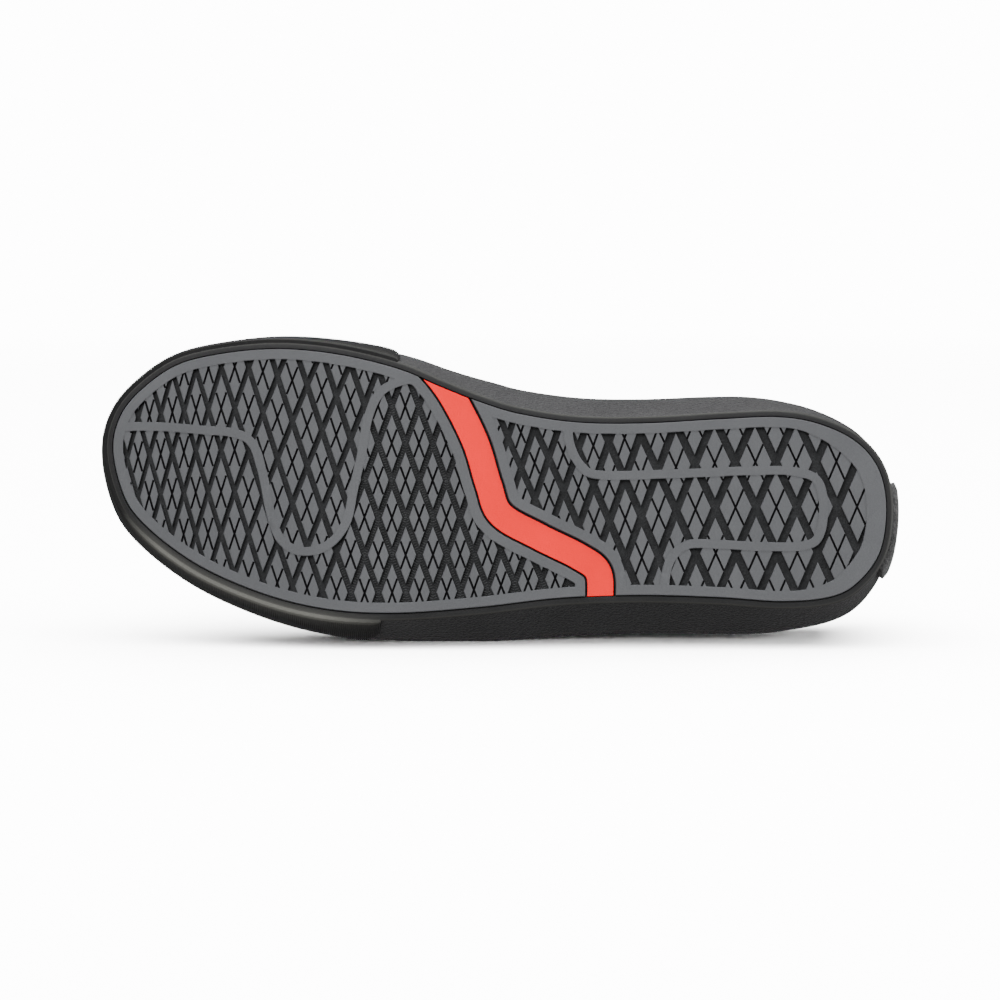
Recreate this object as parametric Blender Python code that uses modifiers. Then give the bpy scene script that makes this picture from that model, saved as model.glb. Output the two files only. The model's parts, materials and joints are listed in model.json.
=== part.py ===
"""Right low-top skateboarding shoe, lying on its lateral side.

The shoe is modelled upright in its own frame, in metres: x from heel to toe, y towards the medial side,
z up from the tread. It is then laid down with the sole facing -Y, the toe to -X and the medial side up.
"""
import math

import bmesh
import bpy
import numpy as np
from mathutils import Matrix, Vector, geometry

# Driving sizes
SOLE_LENGTH = 0.296
BALL_WIDTH = 0.100
WALL_HEIGHT = 0.027
INSTEP_HEIGHT = 0.106
HEEL_HEIGHT = 0.082
TOE_SPRING = 0.014

# Sole
TREAD_THICKNESS = 0.0042
GROOVE_DEPTH = 0.0022
EDGE_BAND = 0.00275
EDGE_LIFT = 0.0006
EDGE_CHAMFER = 0.0008
WALL_THICKNESS = 0.0026
PLATE_TOP = 0.0085
RIM = 0.0038
HEEL_RIM = 0.0072
RIB_WIDTH = 0.0034
INLAY_WIDTH = 0.0096
INLAY_GROOVE = 0.0009
INLAY_RECESS = 0.0005
BUMPER_THICKNESS = 0.00125
BUMPER_BOTTOM = 0.0014
BUMPER_INSET = 0.0022
BUMPER_BEVEL = 0.0006
BUMPER_ENDS = (0.625, 0.642)
TAB_WIDTH = 0.031
TAB_HEIGHT = 0.017
TAB_THICKNESS = 0.0016
TAB_BEVEL = 0.0005
TAB_CENTRE = -0.0068
SPRING_START = 0.62

# Upper
LEATHER = 0.0022
COLLAR_PAD = 0.0056
COLLAR_FADE = 0.020
OVERLAY = 0.0012
TONGUE_THICKNESS = 0.0045
TONGUE_RISE = 0.027
INSOLE_THICKNESS = 0.0040
EYELET_PAIRS = 6
EYELET_RADIUS = 0.0021
EYELET_SPAN = (0.385, 0.555)
EYELET_RISE = 0.89
EYESTAY_STATIONS = (11, 21)
UPPER_RISES = (0.0, 0.18, 0.36, 0.56, 0.78, 1.0)
LACE_WIDTH = 0.0072
LACE_THICKNESS = 0.0013
LACE_CROWN = 0.10
PUNCH_DEPTH = 0.010

# Fits
GAP = 0.0003
WELD = 0.00002
SLICE = 0.022
STATIONS = 36
CURVE_STEPS = 12

# Edge of the tread from the toe's tip to the heel's back.
# along: share of SOLE_LENGTH; across: share of BALL_WIDTH, medial positive
MEDIAL_EDGE = (
    (0.986, 0.243), (0.977, 0.365), (0.951, 0.460), (0.905, 0.551), (0.848, 0.590), (0.775, 0.604),
    (0.699, 0.580), (0.623, 0.524), (0.568, 0.455), (0.520, 0.398), (0.470, 0.352), (0.395, 0.318),
    (0.310, 0.314), (0.215, 0.328), (0.143, 0.334), (0.092, 0.307), (0.046, 0.240), (0.018, 0.135),
)
LATERAL_EDGE = (
    (0.974, 0.085), (0.952, -0.022), (0.905, -0.143), (0.850, -0.241), (0.775, -0.329),
    (0.700, -0.377), (0.620, -0.388), (0.520, -0.368), (0.420, -0.336), (0.320, -0.327),
    (0.220, -0.337), (0.143, -0.353), (0.084, -0.339), (0.049, -0.290), (0.019, -0.175),
)
HEEL_BACK = (0.0095, -0.010)

# Side wall of the sole.
# along: share of SOLE_LENGTH; lean: how far the wall leans out, share of WALL_HEIGHT;
# height: share of WALL_HEIGHT
WALL_SECTIONS = (
    (0.00, 0.09, 1.00), (0.05, 0.17, 1.00), (0.12, 0.24, 1.00), (0.20, 0.34, 1.00),
    (0.30, 0.365, 1.00), (0.40, 0.375, 0.99), (0.50, 0.35, 0.96), (0.57, 0.28, 0.93),
    (0.62, 0.235, 0.91), (0.67, 0.20, 0.90), (0.72, 0.17, 0.89), (0.85, 0.13, 0.91), (1.00, 0.11, 0.98),
)

# Top line of the upper, by rows from the toe's tip round to the heel's back. The two sides meet
# on the ridge where half is 0. The last row mirrors the row before the heel's back, so that the
# collar is round there.
# way: share of the way round; along: share of SOLE_LENGTH; centre, half: middle and half width of the
# opening, shares of BALL_WIDTH; instep, heel: height as shares of INSTEP_HEIGHT and HEEL_HEIGHT;
# turn: degrees that the wall curls over; swell: bulge, share of BALL_WIDTH
TOP_SECTIONS = (
    (0.00, 0.868, 0.182, 0.000, 0.500, 0.000, 90, 0.000),
    (0.06, 0.864, 0.180, 0.000, 0.503, 0.000, 90, 0.000),
    (0.12, 0.850, 0.172, 0.000, 0.513, 0.000, 90, 0.004),
    (0.18, 0.824, 0.158, 0.000, 0.538, 0.000, 88, 0.008),
    (0.24, 0.780, 0.138, 0.000, 0.578, 0.000, 86, 0.010),
    (0.30, 0.725, 0.115, 0.000, 0.635, 0.000, 84, 0.010),
    (0.36, 0.665, 0.095, 0.000, 0.715, 0.000, 80, 0.010),
    (0.39, 0.648, 0.090, 0.110, 0.735, 0.000, 72, 0.010),
    (0.43, 0.602, 0.080, 0.165, 0.790, 0.000, 64, 0.012),
    (0.50, 0.520, 0.055, 0.200, 0.870, 0.000, 58, 0.015),
    (0.56, 0.455, 0.030, 0.225, 0.930, 0.000, 56, 0.018),
    (0.60, 0.412, 0.016, 0.252, 0.890, 0.010, 56, 0.018),
    (0.65, 0.355, 0.003, 0.285, 0.440, 0.420, 58, 0.020),
    (0.72, 0.275, -0.005, 0.300, 0.000, 0.860, 62, 0.022),
    (0.80, 0.178, -0.008, 0.280, 0.000, 0.800, 62, 0.022),
    (0.88, 0.084, -0.010, 0.215, 0.000, 0.850, 60, 0.022),
    (0.94, 0.045, -0.010, 0.130, 0.000, 0.945, 58, 0.022),
    (1.00, 0.030, -0.010, 0.000, 0.000, 0.975, 56, 0.022),
    (1.06, 0.045, -0.010, -0.130, 0.000, 0.945, 58, 0.022),
)

# Free top of the tongue.
# rise: share of TONGUE_RISE; narrow: width, share of the last row under the eyestay; droop: how far
# its sides hang, share of the same row
TONGUE_TOP = ((0.40, 0.66, 0.46), (1.00, 0.60, 0.36))

# Middle line of the inlay between the two tread pads, from the medial to the lateral edge.
# along, across: shares of SOLE_LENGTH and BALL_WIDTH
INLAY_LINE = (
    (0.590, 0.560), (0.557, 0.434), (0.526, 0.254), (0.509, 0.090), (0.4935, -0.024),
    (0.446, -0.107), (0.396, -0.182), (0.372, -0.240), (0.3693, -0.344), (0.3693, -0.450),
)

# Middle lines of the smooth ribs on the forefoot and on the heel.
# along, across: shares of SOLE_LENGTH and BALL_WIDTH
FOREFOOT_RIB = (
    (0.982, 0.327), (0.930, 0.323), (0.876, 0.307), (0.826, 0.288), (0.804, 0.236), (0.793, 0.127),
    (0.782, -0.030), (0.768, -0.120), (0.741, -0.157), (0.710, -0.131), (0.688, -0.049),
    (0.679, 0.071), (0.669, 0.200), (0.660, 0.344), (0.644, 0.438), (0.615, 0.480), (0.590, 0.480),
)
HEEL_RIB = (
    (0.4090, 0.330), (0.406, 0.236), (0.392, 0.155), (0.3665, 0.121), (0.269, 0.125),
    (0.168, 0.135), (0.121, 0.129), (0.095, 0.094), (0.088, 0.000), (0.094, -0.109),
    (0.114, -0.147), (0.168, -0.149), (0.239, -0.137), (0.264, -0.147), (0.281, -0.196),
    (0.288, -0.269), (0.288, -0.340),
)

# Diamond lattice of the grooves, from the back of each pad forwards.
# along: share of SOLE_LENGTH; pitch: from crossing to crossing in a row, share of SOLE_LENGTH;
# middle: the middle row, share of BALL_WIDTH; rise: from row to row, share of BALL_WIDTH;
# groove: width, share of SOLE_LENGTH
HEEL_LATTICE = (
    (0.00, 0.0500, -0.002, 0.169, 0.0100), (0.20, 0.0515, -0.002, 0.169, 0.0100),
    (0.26, 0.0480, -0.010, 0.166, 0.0098), (0.33, 0.0405, -0.040, 0.152, 0.0095),
    (0.42, 0.0370, -0.080, 0.140, 0.0085), (0.50, 0.0320, -0.125, 0.128, 0.0078),
)
FOREFOOT_LATTICE = (
    (0.35, 0.0340, 0.000, 0.124, 0.0078), (0.45, 0.0340, -0.015, 0.127, 0.0078),
    (0.55, 0.0341, -0.034, 0.138, 0.0078), (0.65, 0.0345, -0.034, 0.140, 0.0076),
    (0.755, 0.0378, 0.022, 0.154, 0.0070), (0.83, 0.0350, 0.072, 0.157, 0.0062),
    (0.89, 0.0305, 0.070, 0.155, 0.0058), (1.00, 0.0285, 0.055, 0.148, 0.0055),
)
# Where a crossing of the middle row lies in each lattice, share of SOLE_LENGTH
HEEL_CROSSING = 0.071
FOREFOOT_CROSSING = 0.545


def srgb(red, green, blue):
    """Linear colour of an sRGB triple from 0 to 255."""
    return tuple(((c / 255 + 0.055) / 1.055) ** 2.4 for c in (red, green, blue)) + (1.0,)


def material(name, colour, roughness):
    """Principled material with one colour and roughness."""
    mat = bpy.data.materials.new(name)
    mat.use_nodes = True
    shader = mat.node_tree.nodes["Principled BSDF"]
    shader.inputs["Base Color"].default_value = colour
    shader.inputs["Roughness"].default_value = roughness
    shader.inputs["Metallic"].default_value = 0.0
    mat.diffuse_color = colour
    return mat


def scaled(rows):
    """Plan points in metres from rows of shares."""
    return [(along * SOLE_LENGTH, across * BALL_WIDTH) for along, across in rows]


def smooth_line(points, steps, closed=False):
    """Catmull-Rom curve through plan points, as an array of points."""
    pts = np.array(points, dtype=float)
    if closed:
        pts = np.vstack([pts[-1:], pts, pts[:2]])
    else:
        pts = np.vstack([2 * pts[:1] - pts[1:2], pts, 2 * pts[-1:] - pts[-2:-1]])
    out = []
    for a, b, c, d in zip(pts, pts[1:], pts[2:], pts[3:]):
        for step in range(steps):
            t = step / steps
            out.append(0.5 * (2 * b + (c - a) * t + (2 * a - 5 * b + 4 * c - d) * t * t
                              + (3 * b - a - 3 * c + d) * t ** 3))
    if not closed:
        out.append(pts[-2])
    return np.array(out)


def resample(line, count):
    """Points at equal steps along a line, ends included."""
    run = np.concatenate([[0], np.cumsum(np.linalg.norm(np.diff(line, axis=0), axis=1))])
    where = np.linspace(0, run[-1], count)
    return np.column_stack([np.interp(where, run, line[:, 0]), np.interp(where, run, line[:, 1])])


def line_normals(line, closed=False):
    """Unit normals to the left of a line."""
    if closed:
        tangent = np.roll(line, -1, axis=0) - np.roll(line, 1, axis=0)
    else:
        tangent = np.gradient(line, axis=0)
    tangent /= np.linalg.norm(tangent, axis=1)[:, None]
    return np.column_stack([-tangent[:, 1], tangent[:, 0]])


def edge_curve():
    """Tread edge as a fine closed curve from the toe's tip, and the place of the heel's back in it."""
    rows = list(MEDIAL_EDGE) + [HEEL_BACK] + list(reversed(LATERAL_EDGE))
    return smooth_line(scaled(rows), CURVE_STEPS, closed=True), len(MEDIAL_EDGE) * CURVE_STEPS


def edge_loop():
    """Tread edge as a closed loop of stations, with outward normals.

    Station 0 is the toe's tip and station STATIONS the heel's back; the medial side comes first.
    """
    curve, heel = edge_curve()
    medial = resample(curve[:heel + 1], STATIONS + 1)
    lateral = resample(np.vstack([curve[heel:], curve[:1]]), STATIONS + 1)
    loop = np.vstack([medial[:-1], lateral[:-1]])
    return loop, -line_normals(loop, closed=True)


LOOP, OUTWARD = edge_loop()


def twin(station):
    """Station on the other side of the shoe at the same share of the way round."""
    return (2 * STATIONS - station) % (2 * STATIONS)


def way(station):
    """Share of the way from toe to heel of a station on either side."""
    return min(station, 2 * STATIONS - station) / STATIONS


def spring(x):
    """How far the toe spring lifts the sole at x."""
    start = SPRING_START * SOLE_LENGTH
    return TOE_SPRING * (max(x - start, 0.0) / (SOLE_LENGTH - start)) ** 2


def column(table, key, at):
    """Value of a table's column between its rows, on a smooth curve that never overshoots them."""
    if at <= table[0][0] or at >= table[-1][0]:
        return table[0][key] if at <= table[0][0] else table[-1][key]
    k = max(i for i, row in enumerate(table) if row[0] <= at)
    rise = [(b[key] - a[key]) / (b[0] - a[0]) for a, b in zip(table, table[1:])]

    def slope(i):
        if i == 0 or i == len(table) - 1 or rise[i - 1] * rise[i] <= 0:
            return 0.0
        return 2 / (1 / rise[i - 1] + 1 / rise[i])

    span = table[k + 1][0] - table[k][0]
    t = (at - table[k][0]) / span
    return ((1 + 2 * t) * (1 - t) ** 2 * table[k][key] + t * (1 - t) ** 2 * span * slope(k)
            + t * t * (3 - 2 * t) * table[k + 1][key] - t * t * (1 - t) * span * slope(k + 1))


def wall_top(x):
    """Height of the side wall above the tread plane before the spring."""
    return WALL_HEIGHT * column(WALL_SECTIONS, 2, x / SOLE_LENGTH)


def wall_offset(x, z):
    """How far outside the tread edge the wall's outer face lies at height z."""
    lean = WALL_HEIGHT * column(WALL_SECTIONS, 1, x / SOLE_LENGTH)
    return EDGE_BAND + lean * max(z - EDGE_LIFT, 0.0) / (wall_top(x) - EDGE_LIFT)


def plan_point(point, normal, offset, z):
    """Point at an offset from the tread edge, lifted with the toe spring."""
    x, y = point + normal * offset
    return Vector((x, y, z + spring(x)))


def new_object(name, mesh, mat):
    """Object in the shoe's collection, shaded smooth but for its edges."""
    obj = bpy.data.objects.new(name, mesh)
    bpy.data.collections["skateboarding_shoe"].objects.link(obj)
    mesh.materials.clear()
    mesh.materials.append(mat)
    mesh.shade_smooth()
    mesh.set_sharp_from_angle(angle=math.radians(40))
    return obj


def mesh_of(bm, name):
    """Mesh from a bmesh, with its faces pointing out."""
    bmesh.ops.recalc_face_normals(bm, faces=bm.faces)
    mesh = bpy.data.meshes.new(name)
    bm.to_mesh(mesh)
    bm.free()
    return mesh


def rings(bm, loops, closed=True):
    """Faces between successive loops of vertices, with a bmesh vertex list for each loop.

    Each quad is split along the same diagonal on every piece, so that neighbours stay parallel.
    """
    lists = [[bm.verts.new(co) for co in loop] for loop in loops]
    count = len(loops[0])
    for first, second in zip(lists, lists[1:]):
        for i in range(count if closed else count - 1):
            j = (i + 1) % count
            if first[i].co.z <= second[i].co.z:
                bm.faces.new((first[i], first[j], second[j]))
                bm.faces.new((first[i], second[j], second[i]))
            else:
                bm.faces.new((first[i], first[j], second[i]))
                bm.faces.new((first[j], second[j], second[i]))
    return lists


def cross_strips(bm, ring):
    """Closes a loop of all stations with strips from side to side."""
    bm.faces.new((ring[0], ring[1], ring[twin(1)]))
    for i in range(1, STATIONS - 1):
        bm.faces.new((ring[i], ring[i + 1], ring[twin(i + 1)], ring[twin(i)]))
    bm.faces.new((ring[STATIONS - 1], ring[STATIONS], ring[STATIONS + 1]))


def sole_cup(mat):
    """Side wall and plate of the sole, with a recess below for the tread."""
    def loop(offset, z):
        return [plan_point(p, n, offset(p[0]), z(p[0])) for p, n in zip(LOOP, OUTWARD)]

    section = (
        (lambda x: GAP, lambda x: TREAD_THICKNESS + GAP),
        (lambda x: GAP, lambda x: EDGE_LIFT),
        (lambda x: EDGE_BAND - EDGE_CHAMFER, lambda x: EDGE_LIFT),
        (lambda x: wall_offset(x, EDGE_LIFT + EDGE_CHAMFER), lambda x: EDGE_LIFT + EDGE_CHAMFER),
        (lambda x: wall_offset(x, wall_top(x) - EDGE_CHAMFER), lambda x: wall_top(x) - EDGE_CHAMFER),
        (lambda x: wall_offset(x, wall_top(x)) - EDGE_CHAMFER, wall_top),
        (lambda x: wall_offset(x, wall_top(x)) - WALL_THICKNESS, wall_top),
        (lambda x: wall_offset(x, PLATE_TOP) - WALL_THICKNESS, lambda x: PLATE_TOP),
    )
    bm = bmesh.new()
    lists = rings(bm, [loop(offset, z) for offset, z in section])
    cross_strips(bm, lists[0])
    cross_strips(bm, lists[-1])
    return new_object("sole_cup", mesh_of(bm, "sole_cup"), mat)


def insole(mat):
    """Foam sock on the plate, inside the upper."""
    inset = WALL_THICKNESS + LEATHER + 3 * GAP

    def loop(z):
        return [plan_point(p, n, wall_offset(p[0], PLATE_TOP) - inset, z) for p, n in zip(LOOP, OUTWARD)]

    bm = bmesh.new()
    lists = rings(bm, [loop(PLATE_TOP + GAP), loop(PLATE_TOP + GAP + INSOLE_THICKNESS)])
    cross_strips(bm, lists[0])
    cross_strips(bm, lists[1])
    return new_object("insole", mesh_of(bm, "insole"), mat)


def wrapped_strip(name, path, normals, section, mat):
    """Closed strip that follows a path outside the side wall.

    section gives, for a share along the path and x, the corners as (offset from the wall, z).
    """
    bm = bmesh.new()
    loops = []
    for share, point, normal in zip(np.linspace(0, 1, len(path)), path, normals):
        corners = section(share, point[0])
        loops.append([plan_point(point, normal, wall_offset(point[0], z) + out, z) for out, z in corners])
    lists = rings(bm, loops)
    bm.faces.new(lists[0])
    bm.faces.new(lists[-1])
    return new_object(name, mesh_of(bm, name), mat)


def toe_bumper(mat):
    """Second strip of the side wall round the toe, with rounded ends."""
    medial_end, lateral_end = BUMPER_ENDS
    curve, heel = edge_curve()
    medial = curve[:heel][curve[:heel, 0] > medial_end * SOLE_LENGTH][::-1]
    lateral = curve[heel:][curve[heel:, 0] > lateral_end * SOLE_LENGTH][::-1]
    path = resample(np.vstack([medial, lateral]), 38)
    normals = line_normals(path)

    def section(share, x):
        end = min(share, 1 - share) / 0.03
        swell = math.sqrt(min(1.0, 0.12 + 0.88 * end))
        out = GAP + BUMPER_THICKNESS * swell
        low = BUMPER_BOTTOM
        high = wall_top(x) - BUMPER_INSET
        bevel = BUMPER_BEVEL * swell
        return ((GAP, low), (out - bevel, low), (out, low + 2 * bevel), (out, high - 2 * bevel),
                (out - bevel, high), (GAP, high))

    return wrapped_strip("toe_bumper", path, normals, section, mat)


def heel_tab(mat):
    """Plain tab on the back of the side wall."""
    curve = edge_curve()[0]
    back = curve[curve[:, 0] < 0.12 * SOLE_LENGTH]
    inside = np.abs(back[:, 1] - TAB_CENTRE) < TAB_WIDTH / 2
    path = resample(back[inside], 12)
    normals = -line_normals(path)

    def section(share, x):
        end = min(1.0, 0.35 + min(share, 1 - share) / 0.1)
        middle = wall_top(x) / 2
        reach = TAB_HEIGHT / 2 * (0.86 + 0.14 * end)
        out = 2 * GAP + TAB_THICKNESS
        low, high = middle - reach, middle + reach
        return ((2 * GAP, low), (out - TAB_BEVEL, low), (out, low + TAB_BEVEL),
                (out, high - TAB_BEVEL), (out - TAB_BEVEL, high), (2 * GAP, high))

    return wrapped_strip("heel_tab", path, normals, section, mat)


def rim_width(x):
    """Width of the smooth rim of the tread, wider round the heel."""
    share = min(max((0.13 - x / SOLE_LENGTH) / 0.11, 0.0), 1.0)
    return RIM + (HEEL_RIM - RIM) * share * share * (3 - 2 * share)


def lattice_grooves(table, start):
    """Centre lines and widths of the grooves, as rows of (point, point, half width)."""
    def pitch(x):
        return SOLE_LENGTH * column(table, 1, x / SOLE_LENGTH)

    low, high = table[0][0] * SOLE_LENGTH, table[-1][0] * SOLE_LENGTH
    columns = {0: start * SOLE_LENGTH}
    for step in (1, -1):
        index, x = 0, columns[0]
        while low - pitch(low) < x < high + pitch(high):
            x += step * pitch(x + step * pitch(x) / 4) / 2
            index += step
            columns[index] = x

    def crossing(index, row):
        x = columns[index]
        share = x / SOLE_LENGTH
        y = BALL_WIDTH * (column(table, 2, share) - row * column(table, 3, share))
        return np.array((x, y))

    grooves = []
    for index in columns:
        for row in range(-6, 7):
            for step in (1, -1):
                if (index + row) % 2 == 0 and index + step in columns:
                    a, b = crossing(index, row), crossing(index + step, row + 1)
                    wide = SOLE_LENGTH * column(table, 4, (a[0] + b[0]) / 2 / SOLE_LENGTH)
                    grooves.append((a, b, wide / 2))
    return grooves


def inside_loop(points, loop):
    """Which points lie inside a closed plan loop."""
    x, y = points[:, 0:1], points[:, 1:2]
    x0, y0 = loop[:, 0], loop[:, 1]
    x1, y1 = np.roll(x0, -1), np.roll(y0, -1)
    with np.errstate(divide="ignore", invalid="ignore"):
        crosses = ((y0 > y) != (y1 > y)) & (x < (x1 - x0) * (y - y0) / (y1 - y0) + x0)
    return crosses.sum(axis=1) % 2 == 1


def signed_distance(points, line):
    """Distance of points to a line, positive to its left."""
    a, b = line[:-1], line[1:]
    along = b - a
    rel = points[:, None, :] - a[None, :, :]
    t = np.clip((rel * along).sum(2) / (along * along).sum(1), 0, 1)
    off = rel - t[..., None] * along
    dist = np.linalg.norm(off, axis=2)
    best = dist.argmin(axis=1)
    rows = np.arange(len(points))
    side = along[best, 0] * rel[rows, best, 1] - along[best, 1] * rel[rows, best, 0]
    return np.where(side >= 0, 1, -1) * dist[rows, best]


def in_groove(points, grooves):
    """Which points lie in one of the grooves."""
    hit = np.zeros(len(points), dtype=bool)
    for a, b, half in grooves:
        length = np.linalg.norm(b - a)
        along = (b - a) / length
        rel = points - a
        run = rel @ along
        off = np.abs(rel[:, 0] * along[1] - rel[:, 1] * along[0])
        hit |= (off < half) & (run > -half / 2) & (run < length + half / 2)
    return hit


class Plan:
    """Plan lines of the tread, and the triangles between them."""

    def __init__(self):
        self.points, self.edges = [], []

    def add_line(self, line, closed=False):
        first = len(self.points)
        self.points += [Vector((float(x), float(y))) for x, y in line]
        last = len(self.points) - 1
        self.edges += [(i, i + 1) for i in range(first, last)]
        if closed:
            self.edges.append((last, first))

    def add_groove(self, a, b, half):
        along = (b - a) / np.linalg.norm(b - a)
        side = np.array((-along[1], along[0])) * half
        ends = along * half / 2
        self.add_line([a - ends + side, b + ends + side, b + ends - side, a - ends - side], closed=True)

    def triangles(self):
        result = geometry.delaunay_2d_cdt(self.points, self.edges, [], 0, 1e-6)
        verts = np.array([tuple(v) for v in result[0]])
        faces = np.array([tuple(f) for f in result[2]])
        return verts, faces, verts[faces].mean(axis=1)


def moved_verts(extruded):
    """Vertices that an extrusion made."""
    return [item for item in extruded["geom"] if isinstance(item, bmesh.types.BMVert)]


def solid_from_plan(name, verts, faces, low, deep, high, raised, mat):
    """Slab between deep and high, with the raised faces carried down to low."""
    bm = bmesh.new()
    used = sorted({int(i) for face in faces for i in face})
    made = {i: bm.verts.new((verts[i][0], verts[i][1], deep)) for i in used}
    sheet = [bm.faces.new([made[int(i)] for i in face]) for face in faces]
    bmesh.ops.recalc_face_normals(bm, faces=bm.faces)
    if sheet[0].normal.z > 0:
        bmesh.ops.reverse_faces(bm, faces=bm.faces)
    back = bmesh.ops.extrude_face_region(bm, geom=bm.faces[:] + bm.edges[:], use_keep_orig=True)
    bmesh.ops.translate(bm, vec=(0, 0, high - deep), verts=moved_verts(back))
    if low < deep:
        lands = [face for face, up in zip(sheet, raised) if up]
        lugs = bmesh.ops.extrude_face_region(bm, geom=lands)
        bmesh.ops.translate(bm, vec=(0, 0, low - deep), verts=moved_verts(lugs))
        bmesh.ops.delete(bm, geom=[face for face in lands if face.is_valid], context="FACES")
    bmesh.ops.recalc_face_normals(bm, faces=bm.faces)
    bmesh.ops.dissolve_limit(bm, angle_limit=math.radians(0.5), verts=bm.verts, edges=bm.edges)
    for x in np.arange(SPRING_START * SOLE_LENGTH, SOLE_LENGTH, SLICE):
        cut = bm.verts[:] + bm.edges[:] + bm.faces[:]
        bmesh.ops.bisect_plane(bm, geom=cut, dist=1e-6, plane_co=(x, 0, 0), plane_no=(1, 0, 0))
    for vert in bm.verts:
        vert.co.z += spring(vert.co.x)
    return new_object(name, mesh_of(bm, name), mat)


def treads(pad_mat, inlay_mat):
    """The two tread pads with rim, rib and lugs, and the inlay between them."""
    inlay = smooth_line(scaled(INLAY_LINE), 5)
    inlay_side = line_normals(inlay)
    half_band = INLAY_WIDTH / 2 + INLAY_GROOVE
    field = LOOP - OUTWARD * np.array([rim_width(p[0]) for p in LOOP])[:, None]
    pads = (
        ("forefoot_tread", 1, FOREFOOT_RIB, FOREFOOT_LATTICE, FOREFOOT_CROSSING),
        ("heel_tread", -1, HEEL_RIB, HEEL_LATTICE, HEEL_CROSSING),
    )
    for name, side, rib_rows, table, start in pads:
        rib = smooth_line(scaled(rib_rows), 3)
        rib_side = line_normals(rib)
        grooves = lattice_grooves(table, start)
        near = np.zeros(len(grooves), dtype=bool)
        for share in (0.0, 0.5, 1.0):
            spots = np.array([a + (b - a) * share for a, b, half in grooves])
            near |= inside_loop(spots, field) & (side * signed_distance(spots, inlay) > half_band + RIM)
        grooves = [groove for groove, keep in zip(grooves, near) if keep]
        plan = Plan()
        plan.add_line(LOOP, closed=True)
        plan.add_line(field, closed=True)
        for offset in (half_band, half_band + RIM):
            plan.add_line(inlay + inlay_side * side * offset)
        for offset in (RIB_WIDTH / 2, -RIB_WIDTH / 2):
            plan.add_line(rib + rib_side * offset)
        for groove in grooves:
            plan.add_groove(*groove)
        verts, faces, middle = plan.triangles()
        away = side * signed_distance(middle, inlay)
        pad = inside_loop(middle, LOOP) & (away > half_band)
        sunk = inside_loop(middle, field) & (away > half_band + RIM) & in_groove(middle, grooves)
        sunk &= np.abs(signed_distance(middle, rib)) > RIB_WIDTH / 2
        solid_from_plan(name, verts, faces[pad], 0.0, GROOVE_DEPTH, TREAD_THICKNESS, ~sunk[pad], pad_mat)

    plan = Plan()
    plan.add_line(LOOP, closed=True)
    for offset in (INLAY_WIDTH / 2, -INLAY_WIDTH / 2):
        plan.add_line(inlay + inlay_side * offset)
    verts, faces, middle = plan.triangles()
    band = inside_loop(middle, LOOP) & (np.abs(signed_distance(middle, inlay)) < INLAY_WIDTH / 2)
    solid_from_plan("waist_inlay", verts, faces[band], INLAY_RECESS, INLAY_RECESS, TREAD_THICKNESS,
                    [False] * len(faces[band]), inlay_mat)


def top_row(share):
    """Top line of the upper at a share of the way round: along, centre, half, height, turn, swell."""
    along, centre, half, instep, heel, turn, swell = (column(TOP_SECTIONS, k, share) for k in range(1, 8))
    height = instep * INSTEP_HEIGHT + heel * HEEL_HEIGHT
    return along * SOLE_LENGTH, centre * BALL_WIDTH, half * BALL_WIDTH, height, turn, swell * BALL_WIDTH


def edge_at(station):
    """Tread edge and outward normal at a station, between two stations on the chord."""
    low = int(math.floor(station))
    t = station - low
    a, b = low % (2 * STATIONS), (low + 1) % (2 * STATIONS)
    return LOOP[a] * (1 - t) + LOOP[b] * t, OUTWARD[a] * (1 - t) + OUTWARD[b] * t


def upper_point(station, rise):
    """Outer face of the upper at a station. rise is 0 at the wall's top and 1 at the top line."""
    point, normal = edge_at(station)
    side = 1 if station <= STATIONS else -1
    x, centre, half, height, turn, swell = top_row(way(station))
    base = wall_top(point[0])
    start = point + normal * (wall_offset(point[0], base) - WALL_THICKNESS - GAP)
    end = np.array((x, centre + side * half))
    angle = math.radians(turn)
    inward = (1 - math.cos(rise * angle)) / (1 - math.cos(angle))
    upward = math.sin(rise * angle) / math.sin(angle)
    flat = start + (end - start) * inward + normal * swell * math.sin(math.pi * rise) ** 2
    return Vector((flat[0], flat[1], base + (height - base) * upward + spring(flat[0])))


def upper_normal(station, rise):
    """Outward normal of the upper's outer face."""
    step, drop = 0.5, 0.04
    round_way = upper_point(station + step, rise) - upper_point(station - step, rise)
    low, high = max(rise - drop, 0.0), min(rise + drop, 1.0)
    up_way = upper_point(station, high) - upper_point(station, low)
    normal = round_way.cross(up_way).normalized()
    if rise == 1.0 and top_row(way(station))[2] == 0.0:
        normal = Vector((normal.x, 0, normal.z)).normalized()
    return normal


def on_upper(station, rise, out):
    """Point at a height above the upper's outer face, or inside it where out is negative."""
    return upper_point(station, rise) + upper_normal(station, rise) * out


def upper_foot(station):
    """Outer face of the upper where it meets the plate."""
    point, normal = edge_at(station)
    z = PLATE_TOP + GAP
    return plan_point(point, normal, wall_offset(point[0], z) - WALL_THICKNESS - GAP, z)


def sheet_mesh(bm, name):
    """Mesh of an open sheet, welded where it meets itself and with its faces turned up."""
    bmesh.ops.remove_doubles(bm, verts=bm.verts, dist=WELD)
    bmesh.ops.recalc_face_normals(bm, faces=bm.faces)
    bm.normal_update()
    if sum(face.normal.z * face.calc_area() for face in bm.faces) < 0:
        bmesh.ops.reverse_faces(bm, faces=bm.faces)
    mesh = bpy.data.meshes.new(name)
    bm.to_mesh(mesh)
    bm.free()
    return mesh


def thicken(obj, thickness, offset):
    """Gives an open sheet its thickness, outwards for an offset of 1 and inwards for -1."""
    shell = obj.modifiers.new("wall", "SOLIDIFY")
    shell.thickness = thickness
    shell.offset = offset
    return shell


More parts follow.
